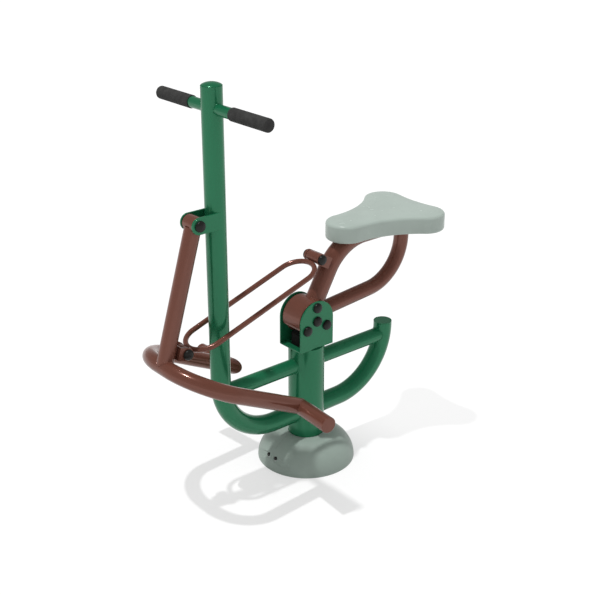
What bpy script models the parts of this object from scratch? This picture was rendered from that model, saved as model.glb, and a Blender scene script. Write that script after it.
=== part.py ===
"""Outdoor gym rider: a seated push and pull trainer for a park.

Metres, +Z up. The origin is on the ground, on the axis of the post. +X runs from the post
towards the seat, -X towards the handlebar, and -Y is on the rider's left.
The rider pulls the handlebar and pushes the foot bar: the foot lever swings on the front tube,
the link pulls the seat arm, and the seat rises about the hub on the post.
"""
import math

import bpy
import bmesh
from mathutils import Euler, Vector

# Fits that all pieces share
GAP = 0.0003
OVERRUN = 0.010
WELD_CLEARANCE = 0.002

# Tubes: outer diameter and wall
POST_TUBE = 0.1143
POST_WALL = 0.0045
FRAME_TUBE = 0.0603
FRAME_WALL = 0.0036
BRACE_TUBE = 0.0483
BRACE_WALL = 0.0032
BAR_TUBE = 0.0318
BAR_WALL = 0.0026
LEVER_TUBE = 0.0483
LEVER_WALL = 0.0032
UPPER_ARM_TUBE = 0.0603
UPPER_ARM_WALL = 0.0036
LOWER_ARM_TUBE = 0.0483
LOWER_ARM_WALL = 0.0032
LINK_ROD = 0.016

# Ground anchor
PLATE_SIDE = 0.200
PLATE_THICKNESS = 0.014
STUD_PITCH = 0.150
STUD_DIAMETER = 0.016
STUD_HEIGHT = 0.048
WASHER_DIAMETER = 0.030
WASHER_THICKNESS = 0.003
NUT_FLATS = 0.024
NUT_HEIGHT = 0.013

# Ground cover: two half domes, joined by a strap at each end
COVER_RADIUS = 0.156
COVER_HEIGHT = 0.090
COVER_WALL = 0.004
COVER_FIT = 0.0006
COVER_SCREW_LEVEL = 0.040
COVER_SCREW_OFFSET = 0.017
COVER_SCREW_HOLE = 0.010
COVER_SCREW_SHANK = 0.006
STRAP_THICKNESS = 0.003
STRAP_HEIGHT = 0.024
STRAP_WIDTH = 0.062
STRAP_FIT = 0.0014

# Fixed frame
PILLAR_REACH = 0.332
REAR_REACH = 0.332
KEEL_LEVEL = 0.166
KEEL_BEND_RADIUS = 0.200
PILLAR_TOP = 1.256
REAR_TOP = 0.3755
BRACE_LEVEL = 0.334
CAP_SPIGOT = 0.008
CAP_EDGE = 0.004
PILLAR_DOME = 0.008
BAR_BELOW_TOP = 0.061
BAR_HALF_LENGTH = 0.241
GRIP_DIAMETER = 0.037
GRIP_START = 0.092
GRIP_END = 0.004
GRIP_ROUNDING = 0.006

# Lever joint on the front tube
LEVER_AXIS_AHEAD = 0.074
LEVER_AXIS_LEVEL = 0.886
CLEVIS_RADIUS = 0.0248
CLEVIS_THICKNESS = 0.0055
LEVER_PIN = 0.014
LEVER_BARREL = 0.046
LEVER_TUBE_START = 0.0105
LEVER_SPIGOT_END = 0.050
BUSH_WALL = 0.003
BUSH_FLANGE = 0.0015
BUSH_LENGTH = 0.016

# Hub on the post
HUB_LEVEL = 0.490
HUB_PLATE_RADIUS = 0.0655
HUB_PLATE_THICKNESS = 0.005
HUB_HALF_WIDTH = 0.051
HUB_FOOT = 0.398
HUB_BOLT_CIRCLE = 0.0448
HUB_BOLT_ANGLES_DEG = (90, 210, 330)
HUB_BOLT = 0.012
AXLE_DIAMETER = 0.020
FLANGE_RADIUS = 0.054
FLANGE_THICKNESS = 0.008
FLANGE_BOSS_RADIUS = 0.013
BEARING_OUTER = 0.047
BEARING_WIDTH = 0.014
BEARING_RACE = 0.004
BEARING_SHIELD = 0.001
HOUSING_WALL = 0.0055
DRUM_RADIUS = 0.062
DRUM_WALL = 0.005
DRUM_HALF_LENGTH = 0.040
WEB_THICKNESS = 0.006

# Stops in the hub: a block under the axle with a rubber buffer on each side
STOP_HALF_ANGLE_DEG = 35
BUFFER_ANGLE_DEG = 8
SEAT_TRAVEL_DEG = 28
STOP_HALF_WIDTH = 0.018
STOP_TOP_RADIUS = 0.048
STOP_REACH = 0.004

# Domed caps on the fasteners, all of one size
CAP_HEIGHT = 0.0110
CAP_RADIUS = 0.0160

# Foot lever and foot bar
LEVER_TILT_DEG = 16.6
LEVER_LENGTH = 0.418
BOW_SLOPE_DEG = 26.6
BOW_HALF_WIDTH = 0.1715
BOW_BEND_RADIUS = 0.150
BOW_ARM_LENGTH = 0.248
PEG_LENGTH = 0.145
PEG_SWEEP_DEG = 5.5
PEG_LIFT_DEG = 1.5
PEG_CAP_EDGE = 0.003

# Link between the lever and the seat arm
FRONT_LINK_ALONG = 0.3706
FRONT_LINK_OFFSET = 0.0520
FRONT_EAR_RADIUS = 0.0195
FRONT_EAR_HALF_WIDTH = 0.029
REAR_EAR_RADIUS = 0.018
REAR_EAR_HALF_WIDTH = 0.032
EAR_THICKNESS = 0.008
BRACKET_WEB = 0.006
BRACKET_SINK = 0.0015
LINK_PIN = 0.012
LINK_BARREL = 0.034
LINK_HALF_WIDTH = 0.060
LINK_DROP = 0.005
LINK_SIDE_CLEARANCE = 0.0007
OPEN_PIVOT_CLEARANCE = 0.0075

# Seat arm
ARM_TILT_DEG = 60.5
ARM_OFFSET = 0.0063
ARM_LEVEL = 0.710
ARM_BEND_RADIUS = 0.170
REAR_PIVOT_X = 0.033
REAR_PIVOT_LEVEL = 0.678
LOWER_ARM_LEVEL = 0.491
LOWER_ARM_RISE_DEG = 4.86
LOWER_ARM_BEND_RADIUS = 0.152
LOWER_ARM_REACH = 0.403

# Seat: a moulding with a nose and two rear lobes
SEAT_NOSE_X = 0.160
SEAT_NOSE_RADIUS = 0.0645
SEAT_LOBE_X = 0.4095
SEAT_LOBE_Y = 0.0925
SEAT_LOBE_RADIUS = 0.0645
SEAT_WAIST_RADIUS = 0.286
SEAT_BACK_RADIUS = 0.367
SEAT_SKIRT = 0.02815
SEAT_THICKNESS = 0.056
SEAT_CROWN = 0.003
SEAT_CROWN_INSET = 0.0516
SEAT_SHOULDER_RISE = 0.0018
SEAT_SHOULDER_INSET = 0.0322
SEAT_TOP_ROUNDING = 0.013
SEAT_BOTTOM_ROUNDING = 0.007
SEAT_PLATE_THICKNESS = 0.005
SEAT_PLATE_WIDTH = 0.104
SEAT_PLATE_FRONT = 0.170
SEAT_PLATE_BACK = 0.440
SEAT_POCKET_MARGIN = 0.004
SEAT_TUBE_ROOM = 0.002
SEAT_BOLT = 0.008
SEAT_BOLT_HEAD = 0.007
SEAT_BOLT_HEAD_HEIGHT = 0.005
SEAT_BOLT_GRIP = 0.012
SEAT_BOLT_INSET = 0.011

# Facets
BIG_SIDES = 24
TUBE_SIDES = 16
SMALL_SIDES = 12
ROD_SIDES = 8
COVER_STEPS = 12
ARC_STEP_DEG = 18

# Colours, linear red, green and blue
GREEN = (0.035, 0.180, 0.100)
BROWN = (0.150, 0.064, 0.050)
COVER_GREY = (0.330, 0.370, 0.350)
SEAT_GREY = (0.470, 0.560, 0.520)
BLACK = (0.020, 0.020, 0.019)
CAP_BLACK = (0.028, 0.026, 0.024)
ZINC = (0.560, 0.570, 0.580)
BRONZE = (0.450, 0.300, 0.150)

# Worked out from the sizes above
POST_RADIUS = POST_TUBE / 2
BAR_LEVEL = PILLAR_TOP - BAR_BELOW_TOP
FRAME_RADIUS = FRAME_TUBE / 2
HUB = Vector((0, 0, HUB_LEVEL))
LEVER_AXIS = Vector((-PILLAR_REACH - LEVER_AXIS_AHEAD, 0, LEVER_AXIS_LEVEL))
REAR_PIVOT = Vector((REAR_PIVOT_X, 0, REAR_PIVOT_LEVEL))
LEVER_DOWN = Vector((-math.sin(math.radians(LEVER_TILT_DEG)), 0, -math.cos(math.radians(LEVER_TILT_DEG))))
LEVER_BACK = Vector((-LEVER_DOWN.z, 0, LEVER_DOWN.x))
FRONT_PIVOT = LEVER_AXIS + LEVER_DOWN * FRONT_LINK_ALONG + LEVER_BACK * FRONT_LINK_OFFSET
BOW_APEX = LEVER_AXIS + LEVER_DOWN * LEVER_LENGTH
BOW_BACK = Vector((math.cos(math.radians(BOW_SLOPE_DEG)), 0, -math.sin(math.radians(BOW_SLOPE_DEG))))
ARM_UP = Vector((math.cos(math.radians(ARM_TILT_DEG)), 0, math.sin(math.radians(ARM_TILT_DEG))))
HUB_INNER = HUB_HALF_WIDTH - HUB_PLATE_THICKNESS
HOUSING_BORE = BEARING_OUTER / 2 + GAP
HOUSING_RADIUS = HOUSING_BORE + HOUSING_WALL
FLANGE_INNER = HUB_INNER - GAP - FLANGE_THICKNESS
HOUSING_HALF_LENGTH = FLANGE_INNER - WELD_CLEARANCE
DRUM_INNER_RADIUS = DRUM_RADIUS - DRUM_WALL
ARM_TOP = ARM_LEVEL + UPPER_ARM_TUBE / 2
SEAT_BOTTOM = ARM_TOP - SEAT_SKIRT
SEAT_TOP = SEAT_BOTTOM + SEAT_THICKNESS
SEAT_PLATE_BOTTOM = ARM_TOP + GAP
SEAT_PLATE_TOP = SEAT_PLATE_BOTTOM + SEAT_PLATE_THICKNESS
ACROSS = Vector((0, 1, 0))
STANDING = Euler((math.radians(90), 0, 0))
STANDING_BACK = Euler((math.radians(-90), 0, 0))


def material(name, colour, roughness, metallic=0.0):
    """Returns a new Principled material."""
    result = bpy.data.materials.new(name)
    result.use_nodes = True
    shader = result.node_tree.nodes["Principled BSDF"]
    shader.inputs["Base Color"].default_value = (*colour, 1)
    shader.inputs["Roughness"].default_value = roughness
    shader.inputs["Metallic"].default_value = metallic
    result.diffuse_color = (*colour, 1)
    return result


def green_paint(name):
    return material(name + "_paint", GREEN, 0.25)


def brown_paint(name):
    return material(name + "_paint", BROWN, 0.25)


def cover_plastic(name):
    return material(name + "_plastic", COVER_GREY, 0.5)


def seat_plastic(name):
    return material(name + "_plastic", SEAT_GREY, 0.35)


def black_rubber(name):
    return material(name + "_rubber", BLACK, 0.75)


def cap_plastic(name):
    return material(name + "_plastic", CAP_BLACK, 0.45)


def zinc_steel(name):
    return material(name + "_steel", ZINC, 0.35, 1.0)


def bush_bronze(name):
    return material(name + "_bronze", BRONZE, 0.4, 1.0)


class Body:
    """Pieces that move together. Its empty stands on the axis of its joint."""

    def __init__(self, name, origin, parent=None):
        self.origin = origin.copy()
        self.empty = bpy.data.objects.new(name, None)
        self.empty.location = origin - parent.origin if parent else origin
        self.empty.parent = parent.empty if parent else None
        bpy.context.scene.collection.objects.link(self.empty)

    def add(self, name, mesh, finish, at=None, turn=None):
        """Makes the mesh a named piece of this body, at a point of the world."""
        piece = new_object(name, mesh)
        piece.data.materials.append(finish(name))
        piece.parent = self.empty
        piece.location = (at if at else self.origin) - self.origin
        if turn:
            piece.rotation_euler = turn
        return piece

    def local(self, points):
        return [point - self.origin for point in points]


def new_object(name, mesh):
    """Turns a bmesh into an object with smooth round faces and sharp edges."""
    bmesh.ops.recalc_face_normals(mesh, faces=mesh.faces)
    data = bpy.data.meshes.new(name)
    mesh.to_mesh(data)
    mesh.free()
    data.shade_smooth()
    data.set_sharp_from_angle(angle=math.radians(35))
    result = bpy.data.objects.new(name, data)
    bpy.context.scene.collection.objects.link(result)
    return result


def hidden(name, mesh, at=None, turn=None):
    """A guide solid that cuts or joins a piece and isn't a piece itself."""
    guide = new_object(name + "_guide", mesh)
    guide.hide_render = True
    guide.display_type = "WIRE"
    if at:
        guide.location = at
    if turn:
        guide.rotation_euler = turn
    return guide


def cut(piece, name, mesh, at=None, turn=None):
    """Cuts a piece with a hidden solid, and returns that solid."""
    cutter = hidden(name, mesh, at, turn)
    cut_with(piece, cutter)
    return cutter


def cut_with(piece, guide, operation="DIFFERENCE"):
    modifier = piece.modifiers.new(guide.name, "BOOLEAN")
    modifier.operation = operation
    modifier.solver = "EXACT"
    modifier.object = guide


def arc(centre, first, second, radius, start_deg, end_deg, steps=None):
    """Points of an arc in the plane of two unit vectors."""
    count = steps or max(1, math.ceil(abs(end_deg - start_deg) / ARC_STEP_DEG))
    points = []
    for index in range(count + 1):
        angle = math.radians(start_deg + (end_deg - start_deg) * index / count)
        points.append(centre + radius * (math.cos(angle) * first + math.sin(angle) * second))
    return points


def flat_arc(centre, radius, start_deg, end_deg, steps=None):
    """Points of an arc in an outline's own plane."""
    across = Vector((1, 0))
    upward = Vector((0, 1))
    return arc(Vector(centre), across, upward, radius, start_deg, end_deg, steps)


def bent(corners, radius):
    """A tube's centre line: straight runs with an arc at each inner corner."""
    path = [corners[0]]
    for before, corner, after in zip(corners, corners[1:], corners[2:]):
        inward = (before - corner).normalized()
        onward = (after - corner).normalized()
        half_angle = inward.angle(onward) / 2
        middle = corner + (inward + onward).normalized() * radius / math.sin(half_angle)
        start = (corner + inward * radius / math.tan(half_angle) - middle).normalized()
        finish = (corner + onward * radius / math.tan(half_angle) - middle).normalized()
        turn_deg = math.degrees(start.angle(finish))
        square = (finish - start * start.dot(finish)).normalized()
        path += arc(middle, start, square, radius, 0, turn_deg)
    path.append(corners[-1])
    return path


def directions(path, closed=False):
    """The direction of travel at each point of a path."""
    result = []
    for index, point in enumerate(path):
        before = path[index - 1] if index or closed else None
        after = path[(index + 1) % len(path)] if closed or index + 1 < len(path) else None
        ahead = (after - point).normalized() if after is not None else Vector()
        behind = (point - before).normalized() if before is not None else Vector()
        result.append((ahead + behind).normalized())
    return result


def tube(path, across, radius, bore=0.0, closed=False, start_face=None, end_face=None, end_wall=0.0,
         sides=TUBE_SIDES):
    """A round tube or bar along a flat path. across is square to the path's plane.

    A face is the normal of a slanted end, for a mitre. An end wall closes the last end.
    """
    mesh = bmesh.new()
    along = directions(path, closed)
    skins = []
    for skin_radius in ([radius, bore] if bore else [radius]):
        rings = []
        for index, (point, forward) in enumerate(zip(path, along)):
            upward = forward.cross(across).normalized()
            segment = path[min(index, len(path) - 2) + 1] - path[min(index, len(path) - 2)]
            stretch = 1 if closed else 1 / forward.dot(segment.normalized())
            face = start_face if index == 0 else end_face if index == len(path) - 1 else None
            ring = []
            for side in range(sides):
                angle = math.tau * side / sides
                offset = skin_radius * (math.cos(angle) * across + math.sin(angle) * stretch * upward)
                if face:
                    offset -= forward * offset.dot(face) / forward.dot(face)
                if skin_radius == bore and index == len(path) - 1:
                    offset -= forward * end_wall
                ring.append(mesh.verts.new(point + offset))
            rings.append(ring)
        skins.append(rings)
    for rings in skins:
        for first, second in zip(rings, rings[1:] + rings[:1] if closed else rings[1:]):
            join_rings(mesh, first, second)
    if not closed:
        for end in (0, -1):
            if bore and not (end_wall and end == -1):
                join_rings(mesh, skins[0][end], skins[1][end])
            else:
                for rings in skins:
                    mesh.faces.new(rings[end])
    return mesh


def join_rings(mesh, first, second):
    for index in range(len(first)):
        after = (index + 1) % len(first)
        mesh.faces.new((first[index], first[after], second[after], second[index]))


def turned(profile, sides=TUBE_SIDES):
    """A turned solid about Z. The profile is a closed outline of (radius, height) points."""
    mesh = bmesh.new()
    rings = []
    for radius, height in profile:
        if radius > 0:
            ring = []
            for side in range(sides):
                angle = math.tau * side / sides
                ring.append(mesh.verts.new((radius * math.cos(angle), radius * math.sin(angle), height)))
        else:
            ring = [mesh.verts.new((0, 0, height))]
        rings.append(ring)
    for first, second in zip(rings, rings[1:] + rings[:1]):
        if len(first) == 1 and len(second) == 1:
            continue
        if len(first) == 1 or len(second) == 1:
            pole, ring = (first[0], second) if len(first) == 1 else (second[0], first)
            for index in range(sides):
                mesh.faces.new((pole, ring[index], ring[(index + 1) % sides]))
        else:
            join_rings(mesh, first, second)
    return mesh


def cylinder(radius, low, high, sides=TUBE_SIDES):
    return turned([(0, low), (radius, low), (radius, high), (0, high)], sides)


def pipe(radius, bore, low, high, sides=TUBE_SIDES):
    return turned([(bore, low), (radius, low), (radius, high), (bore, high)], sides)


def prism(outline, low, high, mesh=None):
    """An outline in the local X and Y, from one height to another."""
    mesh = mesh or bmesh.new()
    lower = [mesh.verts.new((x, y, low)) for x, y in outline]
    upper = [mesh.verts.new((x, y, high)) for x, y in outline]
    mesh.faces.new(lower)
    mesh.faces.new(upper)
    join_rings(mesh, lower, upper)
    return mesh


def hexagon(flats):
    corner = flats / 2 / math.cos(math.radians(30))
    return flat_arc((0, 0), corner, 0, 300, 5)


def rectangle(low_x, high_x, low_y, high_y):
    return [(low_x, low_y), (high_x, low_y), (high_x, high_y), (low_x, high_y)]


def merge(meshes):
    """Puts several solids of one kind in one mesh. Each comes with its move."""
    result = bmesh.new()
    for mesh, move in meshes:
        bmesh.ops.recalc_face_normals(mesh, faces=mesh.faces)
        mesh.transform(move)
        data = bpy.data.meshes.new("part")
        mesh.to_mesh(data)
        mesh.free()
        result.from_mesh(data)
        bpy.data.meshes.remove(data)
    return result


def moved(x, y, z, turn=None):
    """The move to a point, after a turn."""
    rotation = turn.to_matrix().to_4x4() if turn else Euler((0, 0, 0)).to_matrix().to_4x4()
    rotation.translation = (x, y, z)
    return rotation


def toward(direction):
    return direction.to_track_quat("Z", "Y").to_euler()


def tube_plug(tube_diameter, wall, edge, rise):
    """The cap of an open tube end, with its spigot in the bore."""
    radius = tube_diameter / 2
    spigot = radius - wall - GAP
    profile = [(0, -CAP_SPIGOT), (spigot, -CAP_SPIGOT), (spigot, GAP), (radius, GAP), (radius, edge)]
    if rise:
        for point in flat_arc((0, 0), 1, 0, 90, 4)[1:-1]:
            profile.append((radius * point.x, edge + rise * point.y))
    profile.append((0, edge + rise))
    return turned(profile)


def capped_bolt(shank, length):
    """A bolt with a domed cap pressed on its head. The cap stands on local Z = 0, the shank is below."""
    profile = [(0, -length), (shank / 2, -length), (shank / 2, GAP), (CAP_RADIUS, GAP)]
    profile += dome()
    return turned(profile, SMALL_SIDES)


def dome():
    """The rounded outline of a cap, from its upright edge to the middle of its top."""
    edge = CAP_HEIGHT / 2
    points = []
    for point in flat_arc((0, 0), 1, 0, 90, 3)[:-1]:
        points.append((CAP_RADIUS * point.x, edge + (CAP_HEIGHT - edge) * point.y))
    return points + [(0, CAP_HEIGHT)]


def cross_pin(half_width, diameter):
    """A pin between two ears, with a domed cap on each end."""
    shank = diameter / 2
    face = half_width + GAP
    profile = [(radius, -face - rise) for radius, rise in dome()[::-1]]
    profile += [(CAP_RADIUS, -face), (shank, -face), (shank, face), (CAP_RADIUS, face)]
    profile += [(radius, face + rise) for radius, rise in dome()]
    return turned(profile, SMALL_SIDES)


def cross_hole(piece, name, centre, radius, half_length):
    """A hole along Y through a piece."""
    return cut(piece, name, cylinder(radius, -half_length, half_length, SMALL_SIDES), centre, STANDING)


def half_bush(bore, outer, length, flange_radius, flange):
    """A bush with its flange. The flange's outer face is at local Z = 0."""
    return turned([(bore, -length), (outer, -length), (outer, -flange), (flange_radius, -flange),
                   (flange_radius, 0), (bore, 0)], SMALL_SIDES)


def add_bushes(body, names, centre, face, pin, flange_radius):
    """The flanged bushes in the two ends of a barrel. face is the outer face of their flanges."""
    bore = pin / 2 + GAP
    sizes = (bore, bore + BUSH_WALL, BUSH_LENGTH, flange_radius, BUSH_FLANGE)
    left = centre + Vector((0, -face, 0))
    right = centre + Vector((0, face, 0))
    body.add(names[0], half_bush(*sizes), bush_bronze, left, STANDING)
    body.add(names[1], half_bush(*sizes), bush_bronze, right, STANDING_BACK)


def anchor_plate(frame):
    half = PLATE_SIDE / 2
    plate = frame.add("anchor_plate", prism(rectangle(-half, half, -half, half), 0, PLATE_THICKNESS), zinc_steel)
    holes = []
    for x, y in stud_places():
        hole = cylinder(STUD_DIAMETER / 2 + GAP, -OVERRUN, PLATE_THICKNESS + OVERRUN, SMALL_SIDES)
        holes.append((hole, moved(x, y, 0)))
    cut(plate, "anchor_holes", merge(holes))


def stud_places():
    half = STUD_PITCH / 2
    return [(-half, -half), (half, -half), (half, half), (-half, half)]


def anchor_bolts(frame):
    """The bolts that hold the plate to its foundation: stud, washer and nut as one turned piece."""
    washer_top = PLATE_THICKNESS + GAP + WASHER_THICKNESS
    nut_top = washer_top + NUT_HEIGHT
    shank = STUD_DIAMETER / 2
    washer = WASHER_DIAMETER / 2
    profile = [(0, GAP), (shank, GAP), (shank, PLATE_THICKNESS + GAP), (washer, PLATE_THICKNESS + GAP)]
    profile += [(washer, washer_top), (shank, washer_top), (shank, STUD_HEIGHT), (0, STUD_HEIGHT)]
    for number, (x, y) in enumerate(stud_places(), 1):
        at = Vector((x, y, 0))
        piece = frame.add("anchor_bolt_%d" % number, turned(profile, ROD_SIDES), zinc_steel, at)
        nut = hidden("anchor_nut_%d" % number, prism(hexagon(NUT_FLATS), washer_top - GAP, nut_top), at)
        cut_with(piece, nut, "UNION")


def cover_profile(inset):
    """The dome's outline from the ground to the post, drawn in by inset."""
    top_radius = POST_RADIUS + COVER_FIT
    reach = COVER_RADIUS - top_radius - inset
    rise = COVER_HEIGHT - inset
    points = []
    for point in flat_arc((0, 0), 1, 0, 90, COVER_STEPS // 2):
        points.append((top_radius + reach * point.x, rise * point.y))
    return points


def half_cover(frame, name, side):
    """One half of the ground cover. side is -1 for the left half."""
    outer = cover_profile(0)
    inner = cover_profile(COVER_WALL)
    outline = outer + inner[::-1]
    mesh = bmesh.new()
    rings = []
    steps = COVER_STEPS
    clear_y = side * GAP / 2
    for index in range(steps + 1):
        angle = math.pi * index / steps
        ring = []
        for radius, height in outline:
            across = radius * math.cos(angle)
            depth = side * radius * math.sin(angle)
            ring.append(mesh.verts.new((across, depth + clear_y, height + GAP)))
        rings.append(ring)
    for first, second in zip(rings, rings[1:]):
        join_rings(mesh, first, second)
    for ring in (rings[0], rings[-1]):
        for index in range(len(outer) - 1):
            mate = len(outline) - 1 - index
            mesh.faces.new((ring[index], ring[index + 1], ring[mate - 1], ring[mate]))
    piece = frame.add(name, mesh, cover_plastic)
    hole = cylinder(COVER_SCREW_HOLE / 2, -COVER_RADIUS, COVER_RADIUS, SMALL_SIDES)
    place = Vector((0, side * COVER_SCREW_OFFSET, COVER_SCREW_LEVEL))
    cut(piece, name + "_holes", hole, place, toward(Vector((1, 0, 0))))


def cover_inner_reach(level, offset):
    """How far out the inner wall of the cover is, at a height and to one side of the middle."""
    top_radius = POST_RADIUS + COVER_FIT
    share = math.sqrt(1 - (level / (COVER_HEIGHT - COVER_WALL)) ** 2)
    radius = top_radius + (COVER_RADIUS - COVER_WALL - top_radius) * share
    return math.sqrt(radius ** 2 - offset ** 2)


def cover_joints(frame):
    """A strap inside each seam of the cover, with the two screws that hold the halves to it."""
    level = COVER_SCREW_LEVEL
    strap_face = cover_inner_reach(level + STRAP_HEIGHT / 2, STRAP_WIDTH / 2) - STRAP_FIT
    seat = cover_inner_reach(level, COVER_SCREW_OFFSET)
    half = STRAP_WIDTH / 2
    for name, end in (("cover_strap_front", -1), ("cover_strap_rear", 1)):
        faces = sorted((end * strap_face, end * (strap_face - STRAP_THICKNESS)))
        strap = prism(rectangle(*faces, -half, half), -STRAP_HEIGHT / 2, STRAP_HEIGHT / 2)
        piece = frame.add(name, strap, zinc_steel, Vector((0, 0, level)))
        profile = [(0, strap_face - STRAP_THICKNESS / 2), (COVER_SCREW_SHANK / 2, strap_face - STRAP_THICKNESS / 2)]
        profile += [(COVER_SCREW_SHANK / 2, seat + COVER_WALL / 2), (0, seat + COVER_WALL / 2)]
        screws = []
        for side in (-1, 1):
            move = moved(0, side * COVER_SCREW_OFFSET, level, toward(Vector((end, 0, 0))))
            screws.append((turned(profile, ROD_SIDES), move))
        cut_with(piece, hidden(name + "_screws", merge(screws)), "UNION")


def post(frame):
    low = PLATE_THICKNESS + GAP
    mesh = pipe(POST_RADIUS, POST_RADIUS - POST_WALL, low, HUB_FOOT - GAP, BIG_SIDES)
    frame.add("post", mesh, green_paint)


def post_cutter(piece, name):
    cut(piece, name, cylinder(POST_RADIUS + GAP, -OVERRUN, HUB_FOOT, BIG_SIDES))


def keel_path(reach, top):
    """The centre line of a bent frame tube, from its top to inside the post."""
    into_post = math.copysign(POST_RADIUS / 2, reach)
    corners = [Vector((reach, 0, top)), Vector((reach, 0, KEEL_LEVEL)), Vector((into_post, 0, KEEL_LEVEL))]
    return bent(corners, KEEL_BEND_RADIUS)


def bent_frame_tube(frame, name, reach, top):
    path = keel_path(reach, top)
    mesh = tube(path, ACROSS, FRAME_RADIUS, FRAME_RADIUS - FRAME_WALL)
    piece = frame.add(name, mesh, green_paint)
    post_cutter(piece, name + "_end")
    return piece


def front_tube(frame):
    """The pillar and the front half of the keel, bent from one tube."""
    piece = bent_frame_tube(frame, "front_tube", -PILLAR_REACH, PILLAR_TOP)
    centre = Vector((-PILLAR_REACH, 0, BAR_LEVEL))
    half = FRAME_RADIUS + OVERRUN
    hole = cylinder(BAR_TUBE / 2 + GAP, -half, half)
    cut(piece, "bar_hole", hole, centre, STANDING)


def rear_tube(frame):
    bent_frame_tube(frame, "rear_tube", REAR_REACH, REAR_TOP)


def brace(frame, name, reach, top):
    """The level tube between the post and a bent frame tube, fitted round both."""
    ends = [Vector((reach, 0, BRACE_LEVEL)), Vector((math.copysign(POST_RADIUS / 2, reach), 0, BRACE_LEVEL))]
    mesh = tube(ends, ACROSS, BRACE_TUBE / 2, BRACE_TUBE / 2 - BRACE_WALL)
    piece = frame.add(name, mesh, green_paint)
    post_cutter(piece, name + "_post_end")
    cut(piece, name + "_outer_end", tube(keel_path(reach, top), ACROSS, FRAME_RADIUS + GAP))


def frame_caps(frame):
    mesh = tube_plug(FRAME_TUBE, FRAME_WALL, CAP_EDGE, PILLAR_DOME)
    frame.add("pillar_cap", mesh, green_paint, Vector((-PILLAR_REACH, 0, PILLAR_TOP)))
    mesh = tube_plug(FRAME_TUBE, FRAME_WALL, CAP_EDGE, 0)
    frame.add("rear_tube_cap", mesh, green_paint, Vector((REAR_REACH, 0, REAR_TOP)))


def handlebar(frame):
    mesh = pipe(BAR_TUBE / 2, BAR_TUBE / 2 - BAR_WALL, -BAR_HALF_LENGTH, BAR_HALF_LENGTH)
    frame.add("handlebar", mesh, green_paint, Vector((-PILLAR_REACH, 0, BAR_LEVEL)), STANDING)


def grip(frame, name, turn):
    """A rubber grip, closed at its outer end."""
    radius = GRIP_DIAMETER / 2
    bore = BAR_TUBE / 2 + GAP
    end = BAR_HALF_LENGTH + GRIP_END
    profile = [(bore, GRIP_START), (radius, GRIP_START)]
    rounding_centre = (radius - GRIP_ROUNDING, end - GRIP_ROUNDING)
    profile += [tuple(point) for point in flat_arc(rounding_centre, GRIP_ROUNDING, 0, 90, 3)]
    profile += [(0, end), (0, BAR_HALF_LENGTH + GAP), (bore, BAR_HALF_LENGTH + GAP)]
    frame.add(name, turned(profile), black_rubber, Vector((-PILLAR_REACH, 0, BAR_LEVEL)), turn)


def lever_clevis(frame, name, side):
    """A plate on the side of the pillar that carries the lever's pin."""
    centre = (LEVER_AXIS.x, LEVER_AXIS.z)
    outline = flat_arc(centre, CLEVIS_RADIUS, 90, 270)
    outline += [(-PILLAR_REACH, LEVER_AXIS.z - CLEVIS_RADIUS), (-PILLAR_REACH, LEVER_AXIS.z + CLEVIS_RADIUS)]
    middle = side * (FRAME_RADIUS - CLEVIS_THICKNESS / 2)
    mesh = prism(outline, -CLEVIS_THICKNESS / 2, CLEVIS_THICKNESS / 2)
    piece = frame.add(name, mesh, green_paint, Vector((0, middle, 0)), STANDING)
    pillar = cylinder(FRAME_RADIUS + GAP, -CLEVIS_RADIUS - OVERRUN, CLEVIS_RADIUS + OVERRUN)
    cut(piece, name + "_pillar", pillar, Vector((-PILLAR_REACH, 0, LEVER_AXIS.z)))
    cross_hole(piece, name + "_hole", LEVER_AXIS, LEVER_PIN / 2 + GAP, FRAME_RADIUS + OVERRUN)


def lever_joint(frame):
    mesh = cross_pin(FRAME_RADIUS, LEVER_PIN)
    frame.add("lever_pin", mesh, cap_plastic, LEVER_AXIS, STANDING)


def hub_outline():
    outline = flat_arc((0, HUB_LEVEL), HUB_PLATE_RADIUS, 0, 180)
    outline += [(-HUB_PLATE_RADIUS, HUB_FOOT), (HUB_PLATE_RADIUS, HUB_FOOT)]
    return outline


def hub_bolt_places():
    """The axle's bolt first, then the three round it."""
    places = [HUB]
    for angle_deg in HUB_BOLT_ANGLES_DEG:
        angle = math.radians(angle_deg)
        places.append(HUB + HUB_BOLT_CIRCLE * Vector((math.cos(angle), 0, math.sin(angle))))
    return places


def hub_plate(frame, name, side):
    middle = side * (HUB_HALF_WIDTH - HUB_PLATE_THICKNESS / 2)
    mesh = prism(hub_outline(), -HUB_PLATE_THICKNESS / 2, HUB_PLATE_THICKNESS / 2)
    piece = frame.add(name, mesh, green_paint, Vector((0, middle, 0)), STANDING)
    cut(piece, name + "_holes", hub_bolt_holes(HUB_BOLT / 2 + GAP))


def hub_bolt_holes(radius):
    length = HUB_HALF_WIDTH + OVERRUN
    holes = []
    for place in hub_bolt_places():
        holes.append((cylinder(radius, -length, length, SMALL_SIDES), moved(*place, STANDING)))
    return merge(holes)


def hub_base(frame):
    half = HUB_INNER - GAP
    outline = rectangle(-HUB_PLATE_RADIUS, HUB_PLATE_RADIUS, -half, half)
    frame.add("hub_base_plate", prism(outline, HUB_FOOT, HUB_FOOT + HUB_PLATE_THICKNESS), green_paint)


def hub_axle(frame):
    half = HUB_INNER - GAP
    depth = HUB_HALF_WIDTH - bolt_reach() - GAP
    hole = HUB_BOLT / 2 + GAP
    radius = AXLE_DIAMETER / 2
    profile = [(0, -depth), (hole, -depth), (hole, -half), (radius, -half)]
    profile += [(radius, half), (hole, half), (hole, depth), (0, depth)]
    frame.add("hub_axle", turned(profile), zinc_steel, HUB, STANDING)


def bolt_reach():
    """How far a hub bolt goes in from the outer face of its plate."""
    return HUB_PLATE_THICKNESS + FLANGE_THICKNESS


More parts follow.
